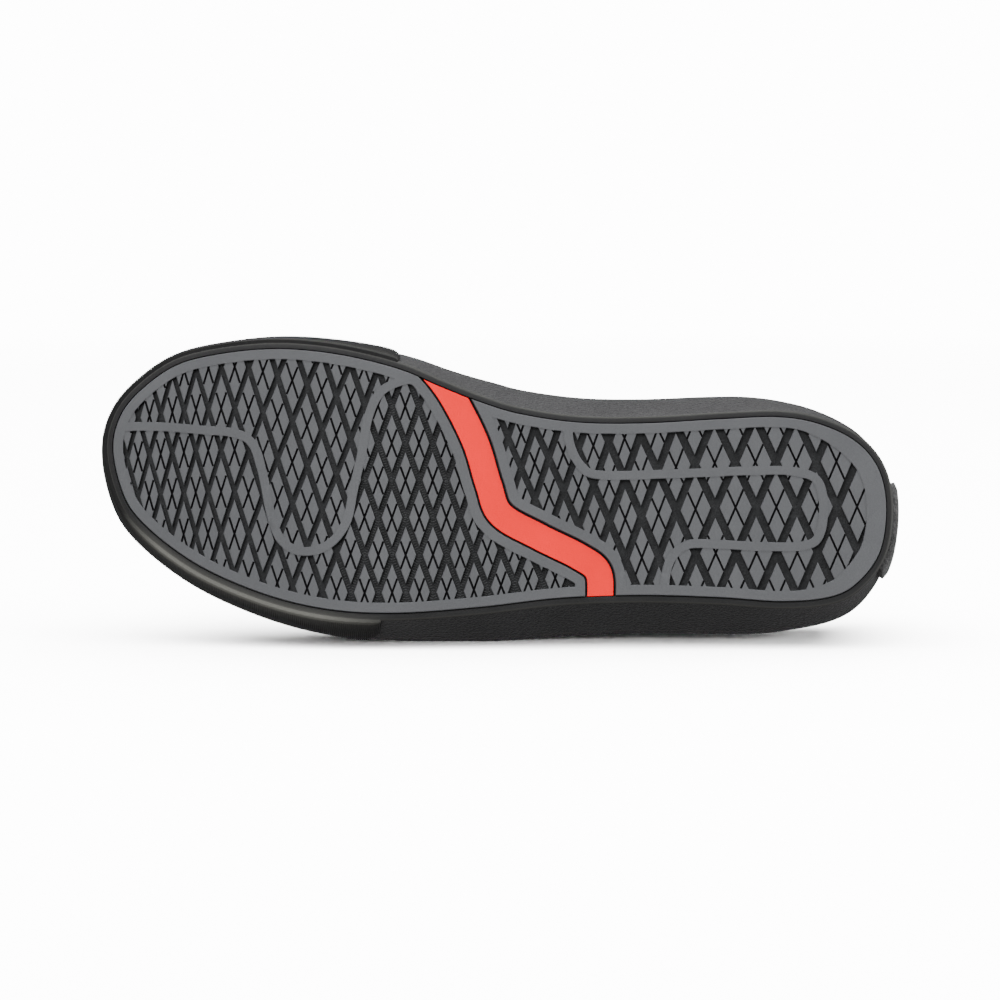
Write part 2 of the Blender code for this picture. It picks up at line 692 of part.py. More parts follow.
def eyelet_station(index, side):
    """Station of an eyelet, from the vamp upwards. side is 1 on the medial side."""
    first, last = EYELET_SPAN
    station = STATIONS * (first + (last - first) * index / (EYELET_PAIRS - 1))
    return station if side > 0 else 2 * STATIONS - station


def upper(mat):
    """Hollow leather shell, with a padded collar."""
    stations = range(2 * STATIONS)
    bm = bmesh.new()
    rows = [[upper_foot(s) for s in stations]]
    rows += [[upper_point(s, rise) for s in stations] for rise in UPPER_RISES]
    rings(bm, rows)
    mesh = sheet_mesh(bm, "upper")
    obj = new_object("upper", mesh, mat)
    pad = obj.vertex_groups.new(name="padding")
    front = top_row(0.60)[0]
    low, high = 0.55 * HEEL_HEIGHT, 0.75 * HEEL_HEIGHT
    thin = LEATHER / COLLAR_PAD
    for vert in mesh.vertices:
        up = min(max((vert.co.z - low) / (high - low), 0.0), 1.0)
        rear = min(max((front - vert.co.x) / COLLAR_FADE, 0.0), 1.0)
        pad.add([vert.index], thin + (1 - thin) * up * rear, "REPLACE")
    shell = thicken(obj, COLLAR_PAD, -1)
    shell.vertex_group = pad.name
    return obj


def eyestay(mat):
    """Overlay round the throat, cut from the upper's own face."""
    first, last = EYESTAY_STATIONS
    rises = [rise for rise in UPPER_RISES if rise > 0.7]
    bm = bmesh.new()
    for side in (range(first, last + 1), range(2 * STATIONS - last, 2 * STATIONS - first + 1)):
        rings(bm, [[on_upper(s, rise, GAP) for s in side] for rise in rises], closed=False)
    obj = new_object("eyestay", sheet_mesh(bm, "eyestay"), mat)
    thicken(obj, OVERLAY, 1)
    return obj


def tongue_row(station):
    """Outer face of the tongue across the shoe at a medial station, under the eyestay's edges."""
    under = -(LEATHER + 3 * GAP)

    def side_points(s):
        rows = [on_upper(s, rise, under) for rise in UPPER_RISES[-3:]]
        return [rows[0].lerp(rows[1], 0.5), rows[1], rows[1].lerp(rows[2], 0.55)]

    medial, lateral = side_points(station), side_points(2 * STATIONS - station)
    edge = (upper_point(station, 1.0) + upper_point(2 * STATIONS - station, 1.0)) / 2
    open_half = top_row(way(station))[2]
    normal = (upper_normal(station, 1.0) + upper_normal(2 * STATIONS - station, 1.0)).normalized()
    centre = edge + normal * (under + 0.16 * open_half)
    return medial + [centre] + lateral[::-1]


def tongue(mat):
    """Padded tongue from under the vamp to above the throat."""
    rows = [tongue_row(s) for s in range(EYESTAY_STATIONS[0], EYESTAY_STATIONS[1])]
    last, centre = rows[-1], rows[-1][3]
    step = (centre - rows[-2][3]).normalized()
    for rise, narrow, droop in TONGUE_TOP:
        middle = centre + step * TONGUE_RISE * rise
        offsets = [point - centre for point in last]
        rows.append([middle + Vector((off.x * droop, off.y * narrow, off.z * droop)) for off in offsets])
    bm = bmesh.new()
    rings(bm, rows, closed=False)
    obj = new_object("tongue", sheet_mesh(bm, "tongue"), mat)
    thicken(obj, TONGUE_THICKNESS, -1)
    return obj


def lace_strap(name, start, end, lift, mat):
    """One flat lace from an eyelet over the tongue to another. start and end are (index, side)."""
    over = 3 * GAP + OVERLAY + LACE_THICKNESS / 2 + lift
    first, last = eyelet_station(*start), eyelet_station(*end)
    lean = 0.15 * (eyelet_station(end[0], 1) - eyelet_station(start[0], 1))
    path = [on_upper(first, EYELET_RISE, over), on_upper(first + lean * start[1], 1.0, over + 2 * GAP)]
    other = on_upper(last - lean * end[1], 1.0, over + 2 * GAP)
    crown = LACE_CROWN * abs(path[1].y - other.y)
    path += [(path[1] + other) / 2 + Vector((0, 0, crown)), other, on_upper(last, EYELET_RISE, over)]
    normals = [upper_normal(s, rise) for s, rise in ((first, EYELET_RISE), (first, 1.0))]
    normals += [upper_normal(s, rise) for s, rise in ((last, 1.0), (last, EYELET_RISE))]
    normals.insert(2, (normals[1] + normals[2]).normalized())
    loops = []
    for i, (point, normal) in enumerate(zip(path, normals)):
        along = (path[min(i + 1, 4)] - path[max(i - 1, 0)]).normalized()
        across = along.cross(normal).normalized() * (LACE_WIDTH / 2)
        up = across.cross(along).normalized() * (LACE_THICKNESS / 2)
        loops.append([point + across + up, point + across - up, point - across - up, point - across + up])
    bm = bmesh.new()
    lists = rings(bm, loops)
    bm.faces.new(lists[0])
    bm.faces.new(lists[-1])
    return new_object(name, mesh_of(bm, name), mat)


def cutter(obj):
    """Moves an object to the collection of cutters."""
    bpy.data.collections["skateboarding_shoe"].objects.unlink(obj)
    bpy.data.collections["cutters"].objects.link(obj)
    obj.hide_render = True
    obj.display_type = "WIRE"


def laces(mat):
    """Crossings of the flat lace, joined at the eyelets and in the middle."""
    straps = [((0, 1), (0, -1))]
    for index in range(EYELET_PAIRS - 1):
        straps += [((index, 1), (index + 1, -1)), ((index, -1), (index + 1, 1))]
    base = lace_strap("laces", *straps[0], 0.0, mat)
    for number, strap in enumerate(straps[1:]):
        other = lace_strap(f"lace_strap_{number}", *strap, LACE_THICKNESS * (0.15 + 0.3 * (number % 2)), mat)
        cutter(other)
        union = base.modifiers.new(f"strap_{number}", "BOOLEAN")
        union.operation = "UNION"
        union.object = other
    return base


def eyelet_holes(pieces, mat):
    """Punches the eyelets through the eyestay and the upper."""
    bm = bmesh.new()
    for index in range(EYELET_PAIRS):
        for side in (1, -1):
            station = eyelet_station(index, side)
            normal = upper_normal(station, EYELET_RISE)
            turn = Vector((0, 0, 1)).rotation_difference(normal).to_matrix().to_4x4()
            place = Matrix.Translation(upper_point(station, EYELET_RISE)) @ turn
            bmesh.ops.create_cone(bm, cap_ends=True, segments=8, radius1=EYELET_RADIUS,
                                  radius2=EYELET_RADIUS, depth=PUNCH_DEPTH, matrix=place)
    punch = new_object("eyelet_punch", mesh_of(bm, "eyelet_punch"), mat)
    cutter(punch)
    for piece in pieces:
        hole = piece.modifiers.new("eyelets", "BOOLEAN")
        hole.operation = "DIFFERENCE"
        hole.object = punch


def lay_down(pieces):
    """Turns the shoe on its lateral side and sets it on the floor, centred on the origin.

    It rests on the face of its convex hull that looks down and holds the middle of its volume.
    """
    first = Matrix(((-1, 0, 0, 0), (0, 0, 1, 0), (0, 1, 0, 0), (0, 0, 0, 1)))
    graph = bpy.context.evaluated_depsgraph_get()
    hull = bmesh.new()
    moment, volume = Vector(), 0.0
    for piece in pieces:
        bm = bmesh.new()
        bm.from_object(piece, graph)
        bmesh.ops.triangulate(bm, faces=bm.faces)
        for face in bm.faces:
            a, b, c = (first @ vert.co for vert in face.verts)
            part_volume = a.dot(b.cross(c)) / 6
            moment += (a + b + c) / 4 * part_volume
            volume += part_volume
        for vert in bm.verts:
            hull.verts.new(first @ vert.co)
        bm.free()
    middle = moment / volume
    bmesh.ops.convex_hull(hull, input=hull.verts)
    bmesh.ops.recalc_face_normals(hull, faces=hull.faces)
    best = None
    for face in hull.faces:
        normal = face.normal
        if normal.z < -0.8 and normal.y > 0:
            foot = geometry.intersect_line_plane(middle, middle + normal, face.calc_center_median(), normal)
            if geometry.intersect_point_tri(foot, *(vert.co for vert in face.verts)):
                best = normal.copy()
    hull_points = [vert.co.copy() for vert in hull.verts]
    hull.free()
    level = best.rotation_difference(Vector((0, 0, -1))).to_matrix()
    points = [level @ point for point in hull_points]
    low = [min(point[k] for point in points) for k in range(3)]
    high = [max(point[k] for point in points) for k in range(3)]
    origin = Vector(((low[0] + high[0]) / 2, (low[1] + high[1]) / 2, low[2]))
    rest = bpy.data.objects.new("rest", None)
    bpy.data.collections["skateboarding_shoe"].objects.link(rest)
    rest.matrix_world = Matrix.Translation(-origin) @ level.to_4x4() @ first
    for piece in list(pieces) + list(bpy.data.collections["cutters"].objects):
        piece.parent = rest


def main():
    """Builds the shoe."""
    for obj in list(bpy.data.objects):
        bpy.data.objects.remove(obj, do_unlink=True)
    for name in ("skateboarding_shoe", "cutters"):
        bpy.context.scene.collection.children.link(bpy.data.collections.new(name))

    black_rubber = material("black_rubber", srgb(43, 43, 43), 0.6)
    grey_rubber = material("grey_rubber", srgb(110, 111, 113), 0.65)
    red_rubber = material("red_rubber", srgb(245, 85, 82), 0.5)
    leather = material("black_leather", srgb(38, 38, 39), 0.55)
    foam = material("insole_foam", srgb(60, 60, 62), 0.9)
    cotton = material("black_cotton", srgb(30, 30, 31), 0.9)

    sole_cup(black_rubber)
    treads(grey_rubber, red_rubber)
    toe_bumper(black_rubber)
    heel_tab(black_rubber)
    insole(foam)
    shell = upper(leather)
    overlay = eyestay(leather)
    tongue(cotton)
    laces(cotton)
    eyelet_holes((shell, overlay), leather)
    lay_down(bpy.data.collections["skateboarding_shoe"].objects[:])


main()
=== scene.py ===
"""Right low-top skateboarding shoe on its lateral side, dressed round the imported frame."""
import json
import math

import bmesh
import bpy
import numpy as np
from mathutils import Matrix, Vector, geometry


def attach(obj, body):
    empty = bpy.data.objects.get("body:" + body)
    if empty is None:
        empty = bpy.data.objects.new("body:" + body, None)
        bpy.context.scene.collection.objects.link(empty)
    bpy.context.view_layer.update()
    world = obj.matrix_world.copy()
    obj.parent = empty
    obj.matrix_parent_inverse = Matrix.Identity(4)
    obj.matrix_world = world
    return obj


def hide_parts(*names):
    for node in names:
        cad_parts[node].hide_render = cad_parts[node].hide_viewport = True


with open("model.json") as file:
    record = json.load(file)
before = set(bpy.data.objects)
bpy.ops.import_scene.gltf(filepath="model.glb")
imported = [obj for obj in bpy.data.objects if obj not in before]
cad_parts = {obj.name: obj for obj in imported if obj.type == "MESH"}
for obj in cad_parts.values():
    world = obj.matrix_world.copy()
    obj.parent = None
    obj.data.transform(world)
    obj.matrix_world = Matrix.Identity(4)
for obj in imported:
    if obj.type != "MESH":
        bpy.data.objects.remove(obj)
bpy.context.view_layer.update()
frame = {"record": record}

# The shoe as it lies. Flat lands on the tread fix its own upright frame, in metres: x from heel to
# toe, y towards the medial side, z up from the tread. Every piece is shaped upright and laid down.
HEEL_LAND, WAIST_LAND = (0.0065, -0.0010), (0.1353, -0.0174)
lands = {mount["name"]: mount for mount in frame["record"]["mounts"]}
heel_at, waist_at = (Vector(lands[name]["pos_m"]) for name in ("heel_land", "waist_land"))
up = -Vector(lands["heel_land"]["axis"])
reach = (waist_at - heel_at).normalized()
turn = math.atan2(WAIST_LAND[1] - HEEL_LAND[1], WAIST_LAND[0] - HEEL_LAND[0])
forward = reach * math.cos(turn) - up.cross(reach) * math.sin(turn)
inward = up.cross(forward)
LYING = Matrix((forward, inward, up)).transposed().to_4x4()
LYING.translation = heel_at - forward * HEEL_LAND[0] - inward * HEEL_LAND[1]

# Camera on a long lens, level with the lying shoe and square to its sole, as in the photograph.
CAMERA_DISTANCE = 1.30
CAMERA_ELEVATION = 5.6
AIM = (0.1464, 0.0030, 0.0)
PHOTO_WIDTH = 1000 / 2688

aim = LYING @ Vector(AIM)
camera = bpy.data.objects.new("camera", bpy.data.cameras.new("camera"))
bpy.context.scene.collection.objects.link(camera)
camera.data.sensor_width = 36
camera.data.lens = 36 * CAMERA_DISTANCE / PHOTO_WIDTH
camera.data.clip_start = 0.01
elevation = math.radians(CAMERA_ELEVATION)
camera.location = aim + Vector((0, -math.cos(elevation), math.sin(elevation))) * CAMERA_DISTANCE
camera.rotation_euler = (math.pi / 2 - elevation, 0, 0)
bpy.context.scene.camera = camera

# Studio. A white paper floor under a wide softbox of its own, which fades into a white tent that glows
# for the eye alone. The shoe is lit by softboxes overhead, beside the camera and behind the heel, and by
# a dim even surround.
FLOOR_REACH, FLOOR_FADE, PAPER_WHITE = 2.4, (2.3, 0.5), 0.85
TENT_RADIUS, TENT_SPAN, TENT_SIDES, TENT_GLOW, SURROUND = 3.5, (-3, 4), 48, 14.0, 0.50
# name, place, what it faces, width in metres, power in watts
LIGHTS = (
    ("overhead_softbox", (-0.1, 0.1, 1.5), (0.0, 0.0, 0.05), 1.6, 62),
    ("front_softbox", (-0.5, -1.6, 0.9), (0.0, 0.0, 0.05), 1.2, 48),
    ("heel_softbox", (1.5, -0.5, 0.25), (0.1, 0.0, 0.05), 0.9, 40),
    ("floor_softbox", (0.0, 0.3, 1.6), (0.0, 0.3, 0.0), 4.0, 1000),
)


def paper(name, verts, faces, white, glow):
    """Stage piece of matt white paper."""
    mesh = bpy.data.meshes.new(name)
    mesh.from_pydata(verts, [], faces)
    obj = bpy.data.objects.new(name, mesh)
    bpy.context.scene.collection.objects.link(obj)
    mat = bpy.data.materials.new(name)
    mat.use_nodes = True
    shader = mat.node_tree.nodes["Principled BSDF"]
    for label, value in (("Base Color", (white, white, white, 1)), ("Roughness", 0.9),
                         ("Specular IOR Level", 0.1), ("Emission Color", (1, 1, 1, 1)),
                         ("Emission Strength", glow)):
        shader.inputs[label].default_value = value
    mesh.materials.append(mat)
    return obj


sides = range(TENT_SIDES)
round_way = [(math.sin(a), math.cos(a)) for a in (math.tau * k / TENT_SIDES for k in sides)]
floor = paper("studio_floor", [(FLOOR_REACH * x, FLOOR_REACH * y, 0) for x, y in round_way],
              [tuple(sides)[::-1]], PAPER_WHITE, 0)
nodes, links = floor.active_material.node_tree.nodes, floor.active_material.node_tree.links
place, distance, fade = (nodes.new(kind) for kind in (
    "ShaderNodeTexCoord", "ShaderNodeVectorMath", "ShaderNodeMapRange"))
distance.operation = "LENGTH"
fade.inputs["From Min"].default_value, fade.inputs["From Max"].default_value = FLOOR_FADE
links.new(place.outputs["Object"], distance.inputs[0])
links.new(distance.outputs["Value"], fade.inputs["Value"])
links.new(fade.outputs["Result"], nodes["Principled BSDF"].inputs["Alpha"])
floor.visible_diffuse = floor.visible_glossy = False
tent_wall = [(k, (k + 1) % TENT_SIDES, TENT_SIDES + (k + 1) % TENT_SIDES, TENT_SIDES + k) for k in sides]
tent = paper("studio_tent", [(TENT_RADIUS * x, TENT_RADIUS * y, z) for z in TENT_SPAN for x, y in round_way],
             tent_wall + [tuple(sides), tuple(TENT_SIDES + k for k in sides)], 0, TENT_GLOW)
tent.visible_diffuse = tent.visible_glossy = tent.visible_shadow = False
for name, place, target, size, power in LIGHTS:
    lamp = bpy.data.lights.new(name, "AREA")
    lamp.size, lamp.energy = size, power
    light = bpy.data.objects.new(name, lamp)
    light.location = place
    light.rotation_euler = (Vector(target) - Vector(place)).to_track_quat("-Z", "Y").to_euler()
    bpy.context.scene.collection.objects.link(light)
floor_alone = bpy.data.collections.new("floor_alone")
floor_alone.objects.link(floor)
light.light_linking.receiver_collection = floor_alone
world = bpy.data.worlds.new("white_surround")
world.use_nodes = True
world.node_tree.nodes["Background"].inputs["Color"].default_value = (1, 1, 1, 1)
world.node_tree.nodes["Background"].inputs["Strength"].default_value = SURROUND
bpy.context.scene.world = world

# Tread pads. Two moulded pads of grey gum-type rubber, under the forefoot and under the heel, each
# with a smooth rim, a looped rib and a field of diamond lugs. Thin knife cuts split each lug in four,
# and fine ridges cross the floors of the grooves behind the forefoot rib.
SOLE_LENGTH, BALL_WIDTH, TOE_SPRING = 0.296, 0.100, 0.014
TREAD_THICKNESS, GROOVE_DEPTH = 0.0042, 0.0022
RIM, HEEL_RIM, RIB_WIDTH = 0.0038, 0.0072, 0.0034
INLAY_WIDTH, INLAY_GROOVE, INLAY_RECESS = 0.0096, 0.0009, 0.0005
LUG_STEP, CUT_DEPTH, CUT_WIDTH, EDGE_BREAK = 0.00020, 0.0014, 0.00076, 0.00022
RIDGE_PITCH, RIDGE_WIDTH, RIDGE_HEIGHT, RIDGE_SUNK = 0.00095, 0.00055, 0.00030, 0.00005
# Shares of a groove's half width, and of SOLE_LENGTH
RIDGE_REACH, RIDGE_REGION = 0.62, 0.70
# How far grooves and cuts run past the ends of their lines, in half widths
GROOVE_ENDS, CUT_ENDS = 0.5, -5.0
# Stations along each side of the sole, and points from one to the next
STATIONS, FINE = 36, 8

# Edge of the tread. along: share of SOLE_LENGTH; across: share of BALL_WIDTH, medial positive
MEDIAL_EDGE = (
    (0.986, 0.243), (0.977, 0.365), (0.951, 0.460), (0.905, 0.551), (0.848, 0.590), (0.775, 0.604),
    (0.699, 0.580), (0.623, 0.524), (0.568, 0.455), (0.520, 0.398), (0.470, 0.352), (0.395, 0.318),
    (0.310, 0.314), (0.215, 0.328), (0.143, 0.334), (0.092, 0.307), (0.046, 0.240), (0.018, 0.135),
)
LATERAL_EDGE = (
    (0.974, 0.085), (0.952, -0.022), (0.905, -0.143), (0.850, -0.241), (0.775, -0.329),
    (0.700, -0.377), (0.620, -0.388), (0.520, -0.368), (0.420, -0.336), (0.320, -0.327),
    (0.220, -0.337), (0.143, -0.353), (0.084, -0.339), (0.049, -0.290), (0.019, -0.175),
)
HEEL_BACK = (0.0095, -0.010)
# Middle line of the red inlay and of the ribs. along, across as above
INLAY_LINE = (
    (0.590, 0.560), (0.557, 0.434), (0.526, 0.254), (0.509, 0.090), (0.4935, -0.024),
    (0.446, -0.107), (0.396, -0.182), (0.372, -0.240), (0.3693, -0.344), (0.3693, -0.450),
)
FOREFOOT_RIB = (
    (0.982, 0.327), (0.930, 0.323), (0.876, 0.307), (0.826, 0.288), (0.804, 0.236), (0.793, 0.127),
    (0.782, -0.030), (0.768, -0.120), (0.741, -0.157), (0.710, -0.131), (0.688, -0.049),
    (0.679, 0.071), (0.669, 0.200), (0.660, 0.344), (0.644, 0.438), (0.615, 0.480), (0.590, 0.480),
)
HEEL_RIB = (
    (0.4090, 0.330), (0.406, 0.236), (0.392, 0.155), (0.3665, 0.121), (0.269, 0.125),
    (0.168, 0.135), (0.121, 0.129), (0.095, 0.094), (0.088, 0.000), (0.094, -0.109),
    (0.114, -0.147), (0.168, -0.149), (0.239, -0.137), (0.264, -0.147), (0.281, -0.196),
    (0.288, -0.269), (0.288, -0.340),
)
# Lattice of grooves. along: share of SOLE_LENGTH; pitch: share of SOLE_LENGTH; middle, rise: the
# middle row and the step between rows, shares of BALL_WIDTH; groove: width, share of SOLE_LENGTH
HEEL_LATTICE = (
    (0.00, 0.0500, -0.002, 0.169, 0.0100), (0.20, 0.0515, -0.002, 0.169, 0.0100),
    (0.26, 0.0480, -0.010, 0.166, 0.0098), (0.33, 0.0405, -0.040, 0.152, 0.0095),
    (0.42, 0.0370, -0.080, 0.140, 0.0085), (0.50, 0.0320, -0.125, 0.128, 0.0078),
)
FOREFOOT_LATTICE = (
    (0.35, 0.0340, 0.000, 0.124, 0.0078), (0.45, 0.0340, -0.015, 0.127, 0.0078),
    (0.55, 0.0341, -0.034, 0.138, 0.0078), (0.65, 0.0345, -0.034, 0.140, 0.0076),
    (0.755, 0.0378, 0.022, 0.154, 0.0070), (0.83, 0.0350, 0.072, 0.157, 0.0062),
    (0.89, 0.0305, 0.070, 0.155, 0.0058), (1.00, 0.0285, 0.055, 0.148, 0.0055),
)
PADS = (
    ("forefoot_tread", 1, FOREFOOT_RIB, FOREFOOT_LATTICE, 0.545),
    ("heel_tread", -1, HEEL_RIB, HEEL_LATTICE, 0.071),
)


def scaled(rows):
    """Plan points in metres from rows of shares."""
    return np.array(rows) * (SOLE_LENGTH, BALL_WIDTH)


def smooth_line(pts, steps, closed=False):
    """Catmull-Rom curve through points."""
    if closed:
        pts = np.vstack([pts[-1:], pts, pts[:2]])
    else:
        pts = np.vstack([2 * pts[:1] - pts[1:2], pts, 2 * pts[-1:] - pts[-2:-1]])
    t = (np.arange(steps) / steps)[:, None]
    out = [0.5 * (2 * b + (c - a) * t + (2 * a - 5 * b + 4 * c - d) * t * t
                  + (3 * b - a - 3 * c + d) * t ** 3) for a, b, c, d in zip(pts, pts[1:], pts[2:], pts[3:])]
    return np.vstack(out if closed else out + [pts[-2:-1]])


def resample(line, count):
    """Points at equal steps along a line, ends included."""
    run = np.concatenate([[0], np.cumsum(np.linalg.norm(np.diff(line, axis=0), axis=1))])
    where = np.linspace(0, run[-1], count)
    return np.column_stack([np.interp(where, run, line[:, k]) for k in range(line.shape[1])])


def unit(vectors):
    """Vectors brought to length one."""
    return vectors / np.linalg.norm(vectors, axis=-1, keepdims=True)


def line_normals(line, closed=False):
    """Unit normals to the left of a plan line."""
    tangent = np.roll(line, -1, axis=0) - np.roll(line, 1, axis=0) if closed else np.gradient(line, axis=0)
    tangent = unit(tangent)
    return np.column_stack([-tangent[:, 1], tangent[:, 0]])


def column(table, key, at):
    """Values of a table's column at shares, on a smooth curve that never overshoots its rows."""
    rows = np.array(table)
    x, y = rows[:, 0], rows[:, key]
    rise = np.diff(y) / np.diff(x)
    slope = np.zeros(len(x))
    for i in range(1, len(x) - 1):
        if rise[i - 1] * rise[i] > 0:
            slope[i] = 2 / (1 / rise[i - 1] + 1 / rise[i])
    at = np.clip(np.asarray(at, dtype=float), x[0], x[-1])
    k = np.clip(np.searchsorted(x, at, side="right") - 1, 0, len(x) - 2)
    span = x[k + 1] - x[k]
    t = (at - x[k]) / span
    return ((1 + 2 * t) * (1 - t) ** 2 * y[k] + t * (1 - t) ** 2 * span * slope[k]
            + t * t * (3 - 2 * t) * y[k + 1] - t * t * (1 - t) * span * slope[k + 1])


def spring(x):
    """How far the toe spring lifts the sole at x."""
    start = 0.62 * SOLE_LENGTH
    return TOE_SPRING * (np.maximum(np.asarray(x) - start, 0) / (SOLE_LENGTH - start)) ** 2


EDGE_ROWS = scaled(MEDIAL_EDGE + (HEEL_BACK,) + LATERAL_EDGE[::-1])
curve = smooth_line(EDGE_ROWS, 24, closed=True)
heel_index = len(MEDIAL_EDGE) * 24
LOOP = np.vstack([resample(curve[:heel_index + 1], STATIONS * FINE + 1)[:-1],
                  resample(np.vstack([curve[heel_index:], curve[:1]]), STATIONS * FINE + 1)[:-1]])
OUTWARD = -line_normals(LOOP, closed=True)


def inside_loop(points, loop):
    """Which points lie inside a closed plan loop."""
    x, y = points[:, 0:1], points[:, 1:2]
    x0, y0 = loop[:, 0], loop[:, 1]
    x1, y1 = np.roll(x0, -1), np.roll(y0, -1)
    with np.errstate(divide="ignore", invalid="ignore"):
        crosses = ((y0 > y) != (y1 > y)) & (x < (x1 - x0) * (y - y0) / (y1 - y0) + x0)
    return crosses.sum(axis=1) % 2 == 1


def signed_distance(points, line):
    """Distance of points to a line, positive to its left."""
    a, along = line[:-1], line[1:] - line[:-1]
    rel = points[:, None, :] - a[None, :, :]
    t = np.clip((rel * along).sum(2) / (along * along).sum(1), 0, 1)
    dist = np.linalg.norm(rel - t[..., None] * along, axis=2)
    best = dist.argmin(axis=1)
    rows = np.arange(len(points))
    side = along[best, 0] * rel[rows, best, 1] - along[best, 1] * rel[rows, best, 0]
    return np.where(side >= 0, 1, -1) * dist[rows, best]


def rim_width(x):
    """Width of the smooth rim, wider round the heel."""
    share = np.clip((0.13 - np.asarray(x) / SOLE_LENGTH) / 0.11, 0, 1)
    return RIM + (HEEL_RIM - RIM) * share * share * (3 - 2 * share)


def lattice_lines(table, start):
    """Grooves and knife cuts, each as rows of (start point, end point, half width)."""
    low, high = table[0][0] * SOLE_LENGTH, table[-1][0] * SOLE_LENGTH
    columns = {0: start * SOLE_LENGTH}
    for step in (1, -1):
        index, x = 0, columns[0]
        while low - 0.01 < x < high + 0.01:
            pitch = SOLE_LENGTH * float(column(table, 1, x / SOLE_LENGTH))
            x += step * SOLE_LENGTH * float(column(table, 1, (x + step * pitch / 4) / SOLE_LENGTH)) / 2
            index += step
            columns[index] = x

    def crossing(index, row):
        share = columns[index] / SOLE_LENGTH
        across = float(column(table, 2, share)) - row * float(column(table, 3, share))
        return np.array((columns[index], BALL_WIDTH * across))

    grooves, cuts = [], []
    for index in columns:
        for row in range(-6, 7):
            if (index + row) % 2:
                continue
            for step in (1, -1):
                if index + step in columns:
                    a, b = crossing(index, row), crossing(index + step, row + 1)
                    wide = SOLE_LENGTH * float(column(table, 4, (a[0] + b[0]) / 2 / SOLE_LENGTH))
                    grooves.append((a, b, wide / 2))
            if index + 1 in columns and index - 1 in columns:
                ends = [crossing(index, row), crossing(index + 1, row + 1),
                        crossing(index, row + 2), crossing(index - 1, row + 1)]
                sides = [(ends[k] + ends[(k + 1) % 4]) / 2 for k in range(4)]
                cuts += [(sides[0], sides[2], CUT_WIDTH / 2), (sides[1], sides[3], CUT_WIDTH / 2)]
    return grooves, cuts


def built(name, verts, faces, slots=None, weld=None):
    """Mesh whose faces look outwards. slots numbers each face's material, and weld joins close points."""
    mesh = bpy.data.meshes.new(name)
    mesh.from_pydata(verts, [], faces)
    if slots is not None:
        mesh.polygons.foreach_set("material_index", slots)
    bm = bmesh.new()
    bm.from_mesh(mesh)
    if weld:
        bmesh.ops.remove_doubles(bm, verts=bm.verts, dist=weld)
    bmesh.ops.recalc_face_normals(bm, faces=bm.faces)
    bm.to_mesh(mesh)
    bm.free()
    return mesh


def covered(points, lines, stretch):
    """Which points lie on one of the lines, each as wide as it says."""
    hit = np.zeros(len(points), dtype=bool)
    for a, b, half in lines:
        length = np.linalg.norm(b - a)
        along = (b - a) / length
        rel = points - a
        far = rel @ along
        off = np.abs(rel[:, 0] * along[1] - rel[:, 1] * along[0])
        hit |= (off < half) & (far > -half * stretch) & (far < length + half * stretch)
    return hit


def ridges(grooves, clear):
    """Closed little prisms across the floors of grooves, where both their ends are clear."""
    bars = []
    for a, b, half in grooves:
        length = np.linalg.norm(b - a)
        along = (b - a) / length
        across = np.array((-along[1], along[0])) * half * RIDGE_REACH
        bars += [(a + along * run, along * RIDGE_WIDTH / 2, across)
                 for run in np.arange(RIDGE_PITCH / 2, length, RIDGE_PITCH)]
    middle, along, across = np.array(bars).transpose(1, 0, 2)
    kept = clear(middle + across) & clear(middle - across)
    middle, along, across = middle[kept], along[kept], across[kept]
    corners = []
    for end in (-1, 1):
        for way, depth in ((-1, GROOVE_DEPTH + RIDGE_SUNK), (0, GROOVE_DEPTH - RIDGE_HEIGHT),
                           (1, GROOVE_DEPTH + RIDGE_SUNK)):
            flat = middle + along * way + across * end
            corners.append(np.column_stack([flat, depth + spring(flat[:, 0])]))
    verts = np.stack(corners, axis=1).reshape(-1, 3)
    faces = [tuple(6 * k + v for v in face) for k in range(len(middle))
             for face in ((0, 1, 4, 3), (1, 2, 5, 4), (2, 0, 3, 5), (0, 2, 1), (3, 4, 5))]
    return built("ridges", verts.tolist(), faces)


class Plan:
    """Plan lines of a moulded pad, and the triangles between them."""

    def __init__(self):
        self.points, self.edges = [], []

    def add_line(self, line, closed=False):
        first = len(self.points)
        self.points += [Vector((float(x), float(y))) for x, y in line]
        last = len(self.points) - 1
        self.edges += [(i, i + 1) for i in range(first, last)]
        if closed:
            self.edges.append((last, first))

    def add_strip(self, a, b, half, stretch):
        along = (b - a) / np.linalg.norm(b - a)
        side = np.array((-along[1], along[0])) * half
        ends = along * half * stretch
        self.add_line([a - ends + side, b + ends + side, b + ends - side, a - ends - side], closed=True)

    def triangles(self):
        result = geometry.delaunay_2d_cdt(self.points, self.edges, [], 0, 1e-6)
        verts = np.array([tuple(v) for v in result[0]])
        faces = np.array([tuple(f) for f in result[2]])
        return verts, faces, verts[faces].mean(axis=1)


